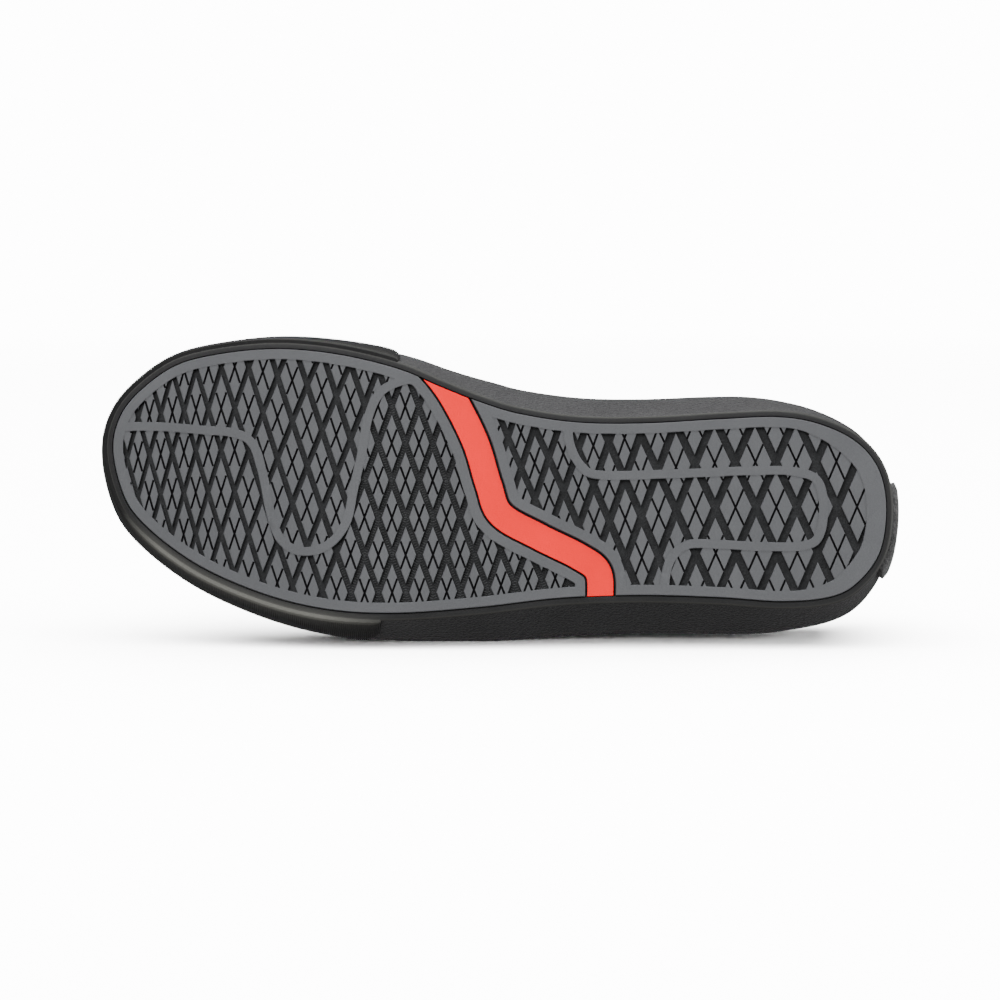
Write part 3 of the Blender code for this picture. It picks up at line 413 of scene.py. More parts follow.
def moulded(name, verts, faces, level, depths, broken, back):
    """Closed solid from plan triangles. Each face lies at its level's depth, with walls between levels.

    The faces of the levels in broken slope down by EDGE_BREAK at vertices they share with a deeper one.
    The first two levels take the first material, each deeper one the next, and the walls down to them
    the second.
    """
    count = len(depths)
    deepest = np.full(len(verts), -1)
    np.maximum.at(deepest, faces.ravel(), np.repeat(level, 3))
    edges = np.sort(np.vstack([faces[:, [0, 1]], faces[:, [1, 2]], faces[:, [2, 0]]]), axis=1)
    owner = np.tile(np.arange(len(faces)), 3)
    order = np.lexsort((edges[:, 1], edges[:, 0]))
    edges, owner = edges[order], owner[order]
    same = np.all(edges[1:] == edges[:-1], axis=1)
    first = np.flatnonzero(same)
    alone = np.ones(len(edges), dtype=bool)
    alone[first] = alone[first + 1] = False
    rim = np.zeros(len(verts), dtype=bool)
    rim[edges[alone].ravel()] = True

    height = np.tile(np.array(depths), (len(verts), 1))
    for k in broken:
        height[(deepest == count - 1) | rim, k] += EDGE_BREAK
    top = count
    solid = [tuple(row) for row in faces * (count + 1) + level[:, None]]
    slots = np.maximum(level - 1, 0).tolist()
    solid += [tuple(row) for row in (faces * (count + 1) + top)[:, ::-1]]
    slots += [0] * len(faces)
    pairs = [(e, level[f], level[g]) for e, f, g in zip(edges[first], owner[first], owner[first + 1])
             if level[f] != level[g]]
    pairs += [(e, level[f], top) for e, f in zip(edges[alone], owner[alone])]
    for (i, j), a, b in pairs:
        solid.append((i * (count + 1) + a, j * (count + 1) + a, j * (count + 1) + b, i * (count + 1) + b))
        slots.append(0 if {a, b} <= {0, 1, top} else 1)
    co = np.empty((len(verts), count + 1, 3))
    co[:, :, :2] = verts[:, None, :]
    co[:, :count, 2] = height
    co[:, top, 2] = back
    co[:, :, 2] += spring(verts[:, 0])[:, None]
    used, flat = np.unique(np.concatenate([np.array(face) for face in solid]), return_inverse=True)
    ends = np.cumsum([len(face) for face in solid])
    solid = [tuple(flat[end - len(face):end]) for face, end in zip(solid, ends)]
    return built(name, co.reshape(-1, 3)[used].tolist(), solid, slots)


def dressed(name, mesh, mats, replaced, sharp=30):
    """Lays an upright mesh down as a piece of the shoe."""
    mesh.name = name
    mesh.transform(LYING)
    for mat in mats:
        mesh.materials.append(mat)
    mesh.shade_smooth()
    mesh.set_sharp_from_angle(angle=math.radians(sharp))
    obj = bpy.data.objects.new(name, mesh)
    bpy.context.scene.collection.objects.link(obj)
    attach(obj, "root")
    if replaced:
        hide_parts(*replaced)
    return obj


def srgb(red, green, blue):
    """Linear colour of an sRGB triple from 0 to 255."""
    return tuple(((c / 255 + 0.055) / 1.055) ** 2.4 for c in (red, green, blue)) + (1.0,)


def effect_group(name, inputs, outputs):
    """Shader group with named sockets, each a label and a kind, and its input and output nodes."""
    group = bpy.data.node_groups.new(name, "ShaderNodeTree")
    for way, sockets in (("INPUT", inputs), ("OUTPUT", outputs)):
        for label, kind in sockets:
            group.interface.new_socket(name=label, in_out=way, socket_type="NodeSocket" + kind)
    return group, group.nodes.new("NodeGroupInput"), group.nodes.new("NodeGroupOutput")


def mottle_group():
    """Shader group: a colour varied by cloudy patches and fine grains, with the grains' height."""
    group, given, out = effect_group(
        "rubber_mottle", (("Colour", "Color"), ("Worn Colour", "Color"), ("Cloud Size", "Float"),
                          ("Grain Size", "Float"), ("Grain", "Float")),
        (("Colour", "Color"), ("Height", "Float")))
    nodes, links = group.nodes, group.links
    place = nodes.new("ShaderNodeTexCoord")

    def noise(size_socket, detail):
        turned = nodes.new("ShaderNodeMath")
        turned.operation = "DIVIDE"
        turned.inputs[0].default_value = 1.0
        links.new(given.outputs[size_socket], turned.inputs[1])
        texture = nodes.new("ShaderNodeTexNoise")
        texture.inputs["Detail"].default_value = detail
        links.new(place.outputs["Object"], texture.inputs["Vector"])
        links.new(turned.outputs[0], texture.inputs["Scale"])
        return texture.outputs["Fac"]

    def spread(value, low, high):
        ramp = nodes.new("ShaderNodeMapRange")
        ramp.inputs["From Min"].default_value = low
        ramp.inputs["From Max"].default_value = high
        links.new(value, ramp.inputs["Value"])
        return ramp.outputs["Result"]

    cloud = spread(noise("Cloud Size", 3.0), 0.35, 0.7)
    grain = spread(noise("Grain Size", 1.0), 0.3, 0.7)
    patches = nodes.new("ShaderNodeMix")
    patches.data_type = "RGBA"
    links.new(cloud, patches.inputs["Factor"])
    links.new(given.outputs["Colour"], patches.inputs["A"])
    links.new(given.outputs["Worn Colour"], patches.inputs["B"])
    strength = nodes.new("ShaderNodeMath")
    strength.operation = "MULTIPLY_ADD"
    links.new(grain, strength.inputs[0])
    links.new(given.outputs["Grain"], strength.inputs[1])
    strength.inputs[2].default_value = 1.0
    tinted = nodes.new("ShaderNodeVectorMath")
    tinted.operation = "SCALE"
    links.new(patches.outputs["Result"], tinted.inputs[0])
    links.new(strength.outputs[0], tinted.inputs["Scale"])
    links.new(tinted.outputs["Vector"], out.inputs["Colour"])
    links.new(grain, out.inputs["Height"])
    return group


RUBBER_MOTTLE = mottle_group()


def mottled(name, colour, worn, roughness, cloud, grain_size, grain, bump, shine=0.25):
    """Material whose colour and relief come from the mottle group."""
    mat = bpy.data.materials.new(name)
    mat.use_nodes = True
    nodes, links = mat.node_tree.nodes, mat.node_tree.links
    shader, effect = nodes["Principled BSDF"], nodes.new("ShaderNodeGroup")
    shader.inputs["Roughness"].default_value = roughness
    shader.inputs["Specular IOR Level"].default_value = shine
    effect.node_tree = RUBBER_MOTTLE
    for label, value in (("Colour", colour), ("Worn Colour", worn), ("Cloud Size", cloud),
                         ("Grain Size", grain_size), ("Grain", grain)):
        effect.inputs[label].default_value = value
    links.new(effect.outputs["Colour"], shader.inputs["Base Color"])
    relief = nodes.new("ShaderNodeBump")
    relief.inputs["Distance"].default_value = bump
    links.new(effect.outputs["Height"], relief.inputs["Height"])
    links.new(relief.outputs["Normal"], shader.inputs["Normal"])
    return mat


# The knife cuts, the groove floors and walls, and the ridges in the grooves are the same grey rubber as the
# lands. Their darker colours are painted shade in these recesses.
tread_face = mottled("tread_face", srgb(62, 63, 65), srgb(67, 68, 70), 0.62, 0.030, 0.0004, 0.06, 0.00003)
tread_cut_painted_shade = mottled("tread_cut_painted_shade", srgb(6, 6, 7), srgb(9, 9, 10), 0.8, 0.010, 0.0005, 0.2, 0.00003, 0.05)
tread_groove_painted_shade = mottled("tread_groove_painted_shade", srgb(16, 17, 18), srgb(26, 27, 28), 0.75, 0.004, 0.0006, 0.5, 0.00016)
tread_ridge_painted_shade = mottled("tread_ridge_painted_shade", srgb(38, 39, 40), srgb(50, 51, 52), 0.75, 0.004, 0.0006, 0.3, 0.00003)

inlay_line = smooth_line(scaled(INLAY_LINE), 12)
inlay_side = line_normals(inlay_line)
half_band = INLAY_WIDTH / 2 + INLAY_GROOVE
field = LOOP - OUTWARD * rim_width(LOOP[:, 0])[:, None]


def within(spots, loop, margin):
    """Which spots lie inside a loop and further than a margin from the inlay's line, on the pad's side."""
    return inside_loop(spots, loop) & (side * signed_distance(spots, inlay_line) > margin)


for name, side, rib_rows, table, start in PADS:
    rib = smooth_line(scaled(rib_rows), 10)
    rib_side = line_normals(rib)
    kept = []
    for lines in lattice_lines(table, start):
        near = np.zeros(len(lines), dtype=bool)
        for share in (0.0, 0.25, 0.5, 0.75, 1.0):
            near |= within(np.array([a + (b - a) * share for a, b, half in lines]), field, half_band + RIM)
        kept.append([line for line, keep in zip(lines, near) if keep])
    grooves, cuts = kept
    plan = Plan()
    for line in (LOOP, LOOP - OUTWARD * EDGE_BREAK, field, field + OUTWARD * EDGE_BREAK):
        plan.add_line(line, closed=True)
    for offset in (half_band, half_band + EDGE_BREAK, half_band + RIM - EDGE_BREAK, half_band + RIM):
        plan.add_line(inlay_line + inlay_side * side * offset)
    for offset in (RIB_WIDTH / 2, RIB_WIDTH / 2 - EDGE_BREAK, EDGE_BREAK - RIB_WIDTH / 2, -RIB_WIDTH / 2):
        plan.add_line(rib + rib_side * offset)
    for a, b, half in grooves:
        plan.add_strip(a, b, half, GROOVE_ENDS)
        plan.add_strip(a, b, half + EDGE_BREAK, GROOVE_ENDS)
    for a, b, half in cuts:
        plan.add_strip(a, b, half, CUT_ENDS)
    verts, faces, middle = plan.triangles()
    pad = within(middle, LOOP, half_band)
    faces, middle = faces[pad], middle[pad]
    lugs = within(middle, field, half_band + RIM) & (np.abs(signed_distance(middle, rib)) > RIB_WIDTH / 2)
    level = np.where(lugs, 1, 0)
    level[lugs & covered(middle, cuts, CUT_ENDS)] = 2
    level[lugs & covered(middle, grooves, GROOVE_ENDS)] = 3
    mesh = moulded(name, verts, faces, level, (0.0, LUG_STEP, CUT_DEPTH, GROOVE_DEPTH), (0, 1),
                   TREAD_THICKNESS)
    dressed(name + "_rubber", mesh, (tread_face, tread_cut_painted_shade, tread_groove_painted_shade), (name,))
    if name == "forefoot_tread":
        mesh = ridges(grooves, lambda spots: within(spots, field, half_band + RIM)
                      & (spots[:, 0] < RIDGE_REGION * SOLE_LENGTH)
                      & (signed_distance(spots, rib) > RIB_WIDTH / 2))
        dressed("groove_ridges", mesh, (tread_ridge_painted_shade,), ())

# Waist inlay. A bright red rubber band, moulded on its own and laid between the two pads with a
# narrow dark gap on each side.
red_rubber = mottled("red_rubber", srgb(214, 0, 4), srgb(222, 0, 6), 0.55, 0.02, 0.0005, 0.04, 0.00002, 0.15)
plan = Plan()
for line in (LOOP, LOOP - OUTWARD * EDGE_BREAK):
    plan.add_line(line, closed=True)
for offset in (0.5, EDGE_BREAK / INLAY_WIDTH - 0.5, 0.5 - EDGE_BREAK / INLAY_WIDTH, -0.5):
    plan.add_line(inlay_line + inlay_side * INLAY_WIDTH * offset)
verts, faces, middle = plan.triangles()
band = inside_loop(middle, LOOP) & (np.abs(signed_distance(middle, inlay_line)) < INLAY_WIDTH / 2)
mesh = moulded("waist_inlay", verts, faces[band], np.zeros(band.sum(), dtype=int), (INLAY_RECESS,), (0,),
               TREAD_THICKNESS)
dressed("waist_inlay_rubber", mesh, (red_rubber,), ("waist_inlay",))

# Side wall. One black rubber cup: a narrow smooth band round the tread, a corner, then a flared wall
# with a fine pebbled grain, and the plate that the foot stands on.
EDGE_BAND, EDGE_LIFT, WALL_HEIGHT, WALL_THICKNESS, PLATE_TOP = 0.00275, 0.0006, 0.027, 0.0026, 0.0085
GAP = 0.0003
# along: share of SOLE_LENGTH; lean: how far the wall leans out; height. Shares of WALL_HEIGHT
WALL_SECTIONS = (
    (0.00, 0.09, 1.00), (0.05, 0.17, 1.00), (0.12, 0.24, 1.00), (0.20, 0.34, 1.00),
    (0.30, 0.365, 1.00), (0.40, 0.375, 0.99), (0.50, 0.35, 0.96), (0.57, 0.28, 0.93),
    (0.62, 0.235, 0.91), (0.67, 0.20, 0.90), (0.72, 0.17, 0.89), (0.85, 0.13, 0.91), (1.00, 0.11, 0.98),
)


def wall_top(x):
    """Height of the side wall above the tread before the spring."""
    return WALL_HEIGHT * column(WALL_SECTIONS, 2, x / SOLE_LENGTH)


def wall_offset(x, z):
    """How far outside the tread edge the wall's outer face lies at height z."""
    lean = WALL_HEIGHT * column(WALL_SECTIONS, 1, x / SOLE_LENGTH)
    return EDGE_BAND + lean * np.maximum(z - EDGE_LIFT, 0) / (wall_top(x) - EDGE_LIFT)


def plan_ring(points, normals, offset, z):
    """Ring of points at an offset from a plan line, lifted with the toe spring."""
    flat = points + normals * np.reshape(offset, (-1, 1))
    return np.column_stack([flat, z + spring(flat[:, 0])])


def sheet_faces(rows, count, closed):
    """Quads between successive rows of points."""
    i = np.arange(count if closed else count - 1)
    j = (i + 1) % count
    quads = [np.column_stack([r * count + i, r * count + j, (r + 1) * count + j, (r + 1) * count + i])
             for r in range(rows - 1)]
    return np.vstack(quads)


def swept(name, rows, closed, capped=False, crossed=()):
    """Mesh over rows of points. capped closes both ends of a tube with one face each.

    The rows numbered in crossed run round the sole, and strips from side to side close them.
    """
    grid = np.array(rows)
    count = grid.shape[1]
    faces = sheet_faces(len(grid), count, closed).tolist()
    if capped:
        faces += [tuple(range(count)), tuple(range((len(grid) - 1) * count, len(grid) * count))]
    half = STATIONS * FINE
    for number in crossed:
        ring = range(number * count, (number + 1) * count)
        faces += [(ring[0], ring[1], ring[-1]), (ring[half - 1], ring[half], ring[half + 1])]
        faces += [(ring[k], ring[k + 1], ring[-k - 1], ring[-k]) for k in range(1, half - 1)]
    return built(name, grid.reshape(-1, 3).tolist(), faces)


def highlight_blend_group():
    """Shader group: a colour that turns to a paler grey by an amount, for a painted highlight."""
    group, given, out = effect_group(
        "painted_highlight_mix", (("Colour", "Color"), ("Highlight Colour", "Color"), ("Amount", "Float")),
        (("Colour", "Color"),))
    blend = group.nodes.new("ShaderNodeMix")
    blend.data_type = "RGBA"
    for source, target in (("Colour", "A"), ("Highlight Colour", "B"), ("Amount", "Factor")):
        group.links.new(given.outputs[source], blend.inputs[target])
    group.links.new(blend.outputs["Result"], out.inputs["Colour"])
    return group


PAINTED_HIGHLIGHT_BLEND = highlight_blend_group()


def with_painted_highlight(mat, highlight_colour):
    """Paints a highlight on a rubber by the amounts stored on its mesh's points."""
    nodes, links = mat.node_tree.nodes, mat.node_tree.links
    colour = nodes["Principled BSDF"].inputs["Base Color"]
    amount, effect = nodes.new("ShaderNodeAttribute"), nodes.new("ShaderNodeGroup")
    amount.attribute_name = "painted_highlight"
    effect.node_tree = PAINTED_HIGHLIGHT_BLEND
    effect.inputs["Highlight Colour"].default_value = highlight_colour
    links.new(colour.links[0].from_socket, effect.inputs["Colour"])
    links.new(amount.outputs["Fac"], effect.inputs["Amount"])
    links.new(effect.outputs["Colour"], colour)
    return mat


def highlight_share(points, rows, shares):
    """How much painted highlight each row's points take: most beside the little toe, and by shares of rows
    all round.
    """
    share = points[..., 0] / SOLE_LENGTH
    outer_toe = np.clip((share - 0.62) / 0.10, 0, 1) * np.clip((0.975 - share) / 0.05, 0, 1)
    outer_toe *= points[..., 1] < 0.08 * BALL_WIDTH
    return np.maximum(outer_toe * np.array(rows), np.array(shares))


def marked(mesh, amount):
    """Stores the painted highlight of a mesh's points."""
    mesh.attributes.new("painted_highlight", "FLOAT", "POINT").data.foreach_set("value", amount.ravel())


# Paler grey of a painted highlight on the rounded corner and underside of the band and the bumper. It marks
# where they catch light beside the little toe and along the corner all round.
HIGHLIGHT_GREY = srgb(84, 84, 80)
band_rubber = with_painted_highlight(mottled("band_rubber", srgb(14, 14, 15), srgb(20, 20, 21), 0.6, 0.02, 0.0006, 0.2,
                              0.00003, 0.15), HIGHLIGHT_GREY)
wall_rubber = mottled("wall_rubber", srgb(19, 19, 20), srgb(26, 26, 27), 0.6, 0.03, 0.0011, 0.75, 0.0006)
WALL_ROWS, WALL_HOLLOW = 8, 0.0005
# Ways out of the tread's edge and heights: up the inside, round the band and over the corner
BAND_PROFILE = (
    (GAP, TREAD_THICKNESS + GAP), (GAP, EDGE_LIFT + 0.0002), (GAP + 0.0002, EDGE_LIFT),
    (EDGE_BAND - 0.0009, EDGE_LIFT), (EDGE_BAND - 0.0003, EDGE_LIFT + 0.0002),
    (EDGE_BAND + 0.0001, EDGE_LIFT + 0.0006),
)
# Ways in from the wall's outer face and down from its top: over its rounded edge
EDGE_PROFILE = ((0.0002, 0.0004), (0.0008, 0.0), (WALL_THICKNESS - 0.0004, 0.0), (WALL_THICKNESS, 0.0005))
# Rows of the band and its corner that take the painted highlight, beside the little toe and all round
BAND_HIGHLIGHT, CORNER_HIGHLIGHT = (0.1, 0.35, 0.8, 0.9), (0.05, 0.25, 0.15)
run, tops = LOOP[:, 0], wall_top(LOOP[:, 0])
rings = [plan_ring(LOOP, OUTWARD, out, z) for out, z in BAND_PROFILE]
for share in np.linspace(0.04, 0.96, WALL_ROWS):
    z = EDGE_LIFT + (tops - EDGE_LIFT) * share
    rings.append(plan_ring(LOOP, OUTWARD, wall_offset(run, z) - WALL_HOLLOW * math.sin(math.pi * share), z))
for back, drop in EDGE_PROFILE:
    rings.append(plan_ring(LOOP, OUTWARD, wall_offset(run, tops) - back, tops - drop))
rings.append(plan_ring(LOOP, OUTWARD, wall_offset(run, PLATE_TOP) - WALL_THICKNESS, PLATE_TOP))
mesh = swept("sole_cup", rings, True, crossed=(0, len(rings) - 1))
slots = np.zeros(len(mesh.polygons), dtype=int)
slots[len(LOOP) * (len(BAND_PROFILE) - 1):len(LOOP) * (len(rings) - 1)] = 1
mesh.polygons.foreach_set("material_index", slots)
most, least = np.zeros((2, len(rings), 1))
most[2:6, 0], least[3:6, 0] = BAND_HIGHLIGHT, CORNER_HIGHLIGHT
marked(mesh, highlight_share(np.array(rings), most, least))
dressed("sole_cup_rubber", mesh, (band_rubber, wall_rubber), ("sole_cup",))

# Toe bumper. A second strip of black rubber vulcanised round the toe, ribbed upright all along, with
# rounded ends. Its back sinks a little into the wall, so that no light passes between them.
BUMPER_THICKNESS, BUMPER_BOTTOM, BUMPER_RIB, RIB_RELIEF, SUNK = 0.00125, 0.0008, 0.00072, 0.00024, 0.0008
BUMPER_MARGIN, BUMPER_ROUNDING, RIB_POINTS = 0.0022, 0.009, 4
# Where the strip ends on the medial and on the lateral side, shares of SOLE_LENGTH
BUMPER_ENDS = (0.625, 0.642)
# inset: from the outer face, None at the back; ribbed: 1 where the ribs stand; base: share of the
# height; rise: metres above it; most, least: how much painted highlight beside the little toe and all round
BUMPER_PROFILE = (
    (None, 0, 0.0, 0.0, 1.0, 0.0), (0.0006, 0, 0.0, 0.0, 1.0, 0.0), (0.0001, 0, 0.0, 0.0006, 1.0, 0.12),
    (0.0, 1, 0.0, 0.0012, 0.5, 0.05), (0.0, 1, 0.5, 0.0, 0.0, 0.0), (0.0, 1, 1.0, -0.0012, 0.0, 0.0),
    (0.0001, 0, 1.0, -0.0006, 0.0, 0.0), (0.0006, 0, 1.0, 0.0, 0.0, 0.0), (None, 0, 1.0, 0.0, 0.0, 0.0),
)
bumper_rubber = with_painted_highlight(mottled("bumper_rubber", srgb(9, 9, 9), srgb(14, 14, 14), 0.6, 0.02, 0.0005, 0.4,
                                0.00004, 0.10), HIGHLIGHT_GREY)
sides = (curve[:heel_index], curve[heel_index:])
path = np.vstack([line[line[:, 0] > end * SOLE_LENGTH][::-1] for line, end in zip(sides, BUMPER_ENDS)])
length = np.linalg.norm(np.diff(path, axis=0), axis=1).sum()
count = RIB_POINTS * int(length / BUMPER_RIB)
path = resample(path, count + 1)
normals, x, share = line_normals(path), path[:, 0], np.linspace(0, 1, count + 1)
rib = np.where(np.arange(count + 1) % RIB_POINTS < RIB_POINTS / 2, RIB_RELIEF, 0.0)
to_end = np.minimum(share, 1 - share)
swell = np.sqrt(np.clip(0.12 + 0.88 * to_end / 0.012, 0, 1))
rounding = np.clip(length * to_end / BUMPER_ROUNDING, 0, 1)
full = wall_top(x) - BUMPER_MARGIN - BUMPER_BOTTOM
high = full * (0.3 + 0.7 * np.sqrt(rounding * (2 - rounding)))
section = []
for inset, ribbed, base, rise, most, least in BUMPER_PROFILE:
    z = BUMPER_BOTTOM + high * base + rise * swell
    off = -SUNK if inset is None else GAP + (BUMPER_THICKNESS - inset) * swell + rib * ribbed
    section.append(plan_ring(path, normals, wall_offset(x, z) + off, z))
section = np.array(section).transpose(1, 0, 2)
mesh = swept("toe_bumper", section, True, capped=True)
marked(mesh, highlight_share(section, [row[4] for row in BUMPER_PROFILE], [row[5] for row in BUMPER_PROFILE]))
dressed("toe_bumper_rubber", mesh, (bumper_rubber,), ("toe_bumper",))

# Heel tab. A small plain patch of rubber cemented on the back of the side wall.
TAB_WIDTH, TAB_HEIGHT, TAB_THICKNESS, TAB_CENTRE, TAB_POINTS = 0.031, 0.017, 0.0016, -0.0068, 49
# climb: share of half the height; proud: share of the thickness
TAB_PROFILE = ((-1, 0), (-1, 0.75), (-0.94, 1), (-0.4, 1), (0, 1), (0.4, 1), (0.94, 1), (1, 0.75), (1, 0))
tab_rubber = mottled("tab_rubber", srgb(44, 44, 44), srgb(64, 64, 64), 0.6, 0.004, 0.0007, 0.9, 0.00015)
back = curve[curve[:, 0] < 0.12 * SOLE_LENGTH]
back = back[np.abs(back[:, 1] - TAB_CENTRE) < TAB_WIDTH / 2]
path = resample(back, TAB_POINTS)
normals, x, share = -line_normals(path), path[:, 0], np.linspace(0, 1, TAB_POINTS)
corner = np.clip(np.minimum(share, 1 - share) / 0.08, 0, 1)
half_height = TAB_HEIGHT / 2 * (0.86 + 0.14 * np.sqrt(corner * (2 - corner)))
section = []
for climb, proud in TAB_PROFILE:
    z = wall_top(x) / 2 + half_height * climb
    out = 2 * GAP + TAB_THICKNESS * proud * (0.6 + 0.4 * corner) if proud else -SUNK
    section.append(plan_ring(path, normals, wall_offset(x, z) + out, z))
mesh = swept("heel_tab", np.array(section).transpose(1, 0, 2), True, capped=True)
dressed("heel_tab_rubber", mesh, (tab_rubber,), ("heel_tab",))

# Insole. A dark foam sock with a cloth face, its edge rounded, on the plate inside the upper.
LEATHER, COLLAR_PAD, INSOLE_THICKNESS = 0.0022, 0.0056, 0.0040
foam_cloth = mottled("foam_cloth", srgb(48, 48, 50), srgb(60, 60, 62), 0.9, 0.02, 0.0007, 0.5, 0.0002)
edge = wall_offset(run, PLATE_TOP) - WALL_THICKNESS - LEATHER - 3 * GAP
rows = [plan_ring(LOOP, OUTWARD, edge - back, PLATE_TOP + GAP + INSOLE_THICKNESS * height)
        for back, height in ((0, 0), (0, 0.75), (0.0004, 0.92), (0.0012, 1.0))]
mesh = swept("insole", rows, True, crossed=(0, len(rows) - 1))
insole = dressed("insole_foam_sock", mesh, (foam_cloth,), ("insole",))

# Upper. One hollow black leather shell, lasted down inside the side wall, with a padded collar. Toe
# cap, quarters and heel counter are thinner panels sewn on it. It has creased across the ball.
INSTEP_HEIGHT, HEEL_HEIGHT, PANEL = 0.106, 0.082, 0.0006
LAP = 2 * STATIONS
# Narrowest gap that counts as open, share of BALL_WIDTH, and metres between points that are welded
OPEN, WELD = 1e-6, 0.000002
# Degrees at which the points of a rolled edge lie
LIP_ANGLES = (30, 60, 90, 120, 150)
# way: share of the way from toe to heel; along: share of SOLE_LENGTH; centre, half: of the opening,
# shares of BALL_WIDTH; instep, heel: height, shares of INSTEP_HEIGHT and HEEL_HEIGHT; turn: degrees that
# the wall curls over; swell: bulge, share of BALL_WIDTH
TOP_SECTIONS = (
    (0.00, 0.868, 0.182, 0.000, 0.500, 0.000, 90, 0.000),
    (0.06, 0.864, 0.180, 0.000, 0.503, 0.000, 90, 0.000),
    (0.12, 0.850, 0.172, 0.000, 0.513, 0.000, 90, 0.004),
    (0.18, 0.824, 0.158, 0.000, 0.538, 0.000, 88, 0.008),
    (0.24, 0.780, 0.138, 0.000, 0.578, 0.000, 86, 0.010),
    (0.30, 0.725, 0.115, 0.000, 0.635, 0.000, 84, 0.010),
    (0.36, 0.665, 0.095, 0.000, 0.715, 0.000, 80, 0.010),
    (0.39, 0.648, 0.090, 0.110, 0.735, 0.000, 72, 0.010),
    (0.43, 0.602, 0.080, 0.165, 0.790, 0.000, 64, 0.012),
    (0.50, 0.520, 0.055, 0.200, 0.870, 0.000, 58, 0.015),
    (0.56, 0.455, 0.030, 0.225, 0.930, 0.000, 56, 0.018),
    (0.60, 0.412, 0.016, 0.252, 0.890, 0.010, 56, 0.018),
    (0.65, 0.355, 0.003, 0.285, 0.440, 0.420, 58, 0.020),
    (0.72, 0.275, -0.005, 0.300, 0.000, 0.860, 62, 0.022),
    (0.80, 0.178, -0.008, 0.280, 0.000, 0.800, 62, 0.022),
    (0.88, 0.084, -0.010, 0.215, 0.000, 0.850, 60, 0.022),
    (0.94, 0.045, -0.010, 0.130, 0.000, 0.945, 58, 0.022),
    (1.00, 0.030, -0.010, 0.000, 0.000, 0.975, 56, 0.022),
    (1.06, 0.045, -0.010, -0.130, 0.000, 0.945, 58, 0.022),
)
# Creases across the ball and below the ankle: depth, width, then points as shares along and across
CREASES = (
    (0.0008, 0.0020, ((0.722, 0.40), (0.706, 0.26), (0.700, 0.10), (0.712, -0.10), (0.730, -0.24))),
    (0.0006, 0.0016, ((0.752, 0.34), (0.742, 0.20), (0.742, 0.04), (0.756, -0.12))),
    (0.0006, 0.0018, ((0.676, 0.46), (0.668, 0.36), (0.672, 0.27))),
    (0.0005, 0.0016, ((0.668, -0.04), (0.676, -0.16), (0.690, -0.26))),
    (0.0007, 0.0026, ((0.330, 0.37), (0.300, 0.40), (0.262, 0.40))),
    (0.0007, 0.0026, ((0.330, -0.36), (0.296, -0.39), (0.258, -0.39))),
)


def way_round(station):
    """Share of the way from toe to heel, the same on both sides."""
    lap = station % LAP
    return np.minimum(lap, LAP - lap) / STATIONS


def opening(station):
    """Half width of the collar or throat at a station, as a share of BALL_WIDTH."""
    return column(TOP_SECTIONS, 3, way_round(station))


def upper_at(station, rise):
    """Outer face of the upper. rise is 0 at the side wall's top and 1 at the top line."""
    station, rise = np.broadcast_arrays(np.asarray(station, dtype=float), np.asarray(rise, dtype=float))
    low = np.floor(station * FINE).astype(int)
    t = (station * FINE - low)[..., None]
    a, b = low % len(LOOP), (low + 1) % len(LOOP)
    point, normal = LOOP[a] * (1 - t) + LOOP[b] * t, OUTWARD[a] * (1 - t) + OUTWARD[b] * t
    share = way_round(station)
    along, centre, half, instep, heel, turn, swell = (column(TOP_SECTIONS, k, share) for k in range(1, 8))
    base = wall_top(point[..., 0])
    start = point + normal * (wall_offset(point[..., 0], base) - WALL_THICKNESS - GAP)[..., None]
    half = np.where(station % LAP <= STATIONS, half, -half)
    end = np.stack([along * SOLE_LENGTH, (centre + half) * BALL_WIDTH], axis=-1)
    angle = np.radians(turn)
    inward = ((1 - np.cos(rise * angle)) / (1 - np.cos(angle)))[..., None]
    bulge = swell * BALL_WIDTH * np.sin(np.pi * rise) ** 2
    flat = start + (end - start) * inward + normal * bulge[..., None]
    height = instep * INSTEP_HEIGHT + heel * HEEL_HEIGHT
    z = base + (height - base) * np.sin(rise * angle) / np.sin(angle) + spring(flat[..., 0])
    return np.concatenate([flat, z[..., None]], axis=-1)


def upper_facing(station, rise):
    """Outward normals of the upper's outer face. On the closed ridge they stand in its plane."""
    station, rise = np.broadcast_arrays(np.asarray(station, dtype=float), np.asarray(rise, dtype=float))
    onward = upper_at(station + 0.5, rise) - upper_at(station - 0.5, rise)
    upward = upper_at(station, np.minimum(rise + 0.04, 1)) - upper_at(station, np.maximum(rise - 0.04, 0))
    normal = np.cross(onward, upward)
    ridge = (rise == 1) & (opening(station) == 0)
    normal[ridge, 1] = 0
    normal[ridge, 2] += 1e-12
    return unit(normal)


def skin(station, rise, out):
    """Points above the upper's outer face, with its creases and the swell of the padded collar."""
    station, rise = np.broadcast_arrays(np.asarray(station, dtype=float), np.asarray(rise, dtype=float))
    points = upper_at(station, rise)
    flat = points[..., :2].reshape(-1, 2)
    relief = np.zeros(len(flat))
    for depth, width, line in CREASES:
        off = np.abs(signed_distance(flat, smooth_line(scaled(line), 6))) / width
        relief -= depth * (np.exp(-off ** 2) - 0.45 * np.exp(-(off - 2.4) ** 2))
    rear = np.clip((way_round(station) - 0.62) / 0.06, 0, 1)
    puff = 0.0011 * rear * np.sin(np.pi * np.clip((rise - 0.80) / 0.19, 0, 1)) ** 1.5
    return points + upper_facing(station, rise) * (relief.reshape(rise.shape) + puff + out)[..., None]


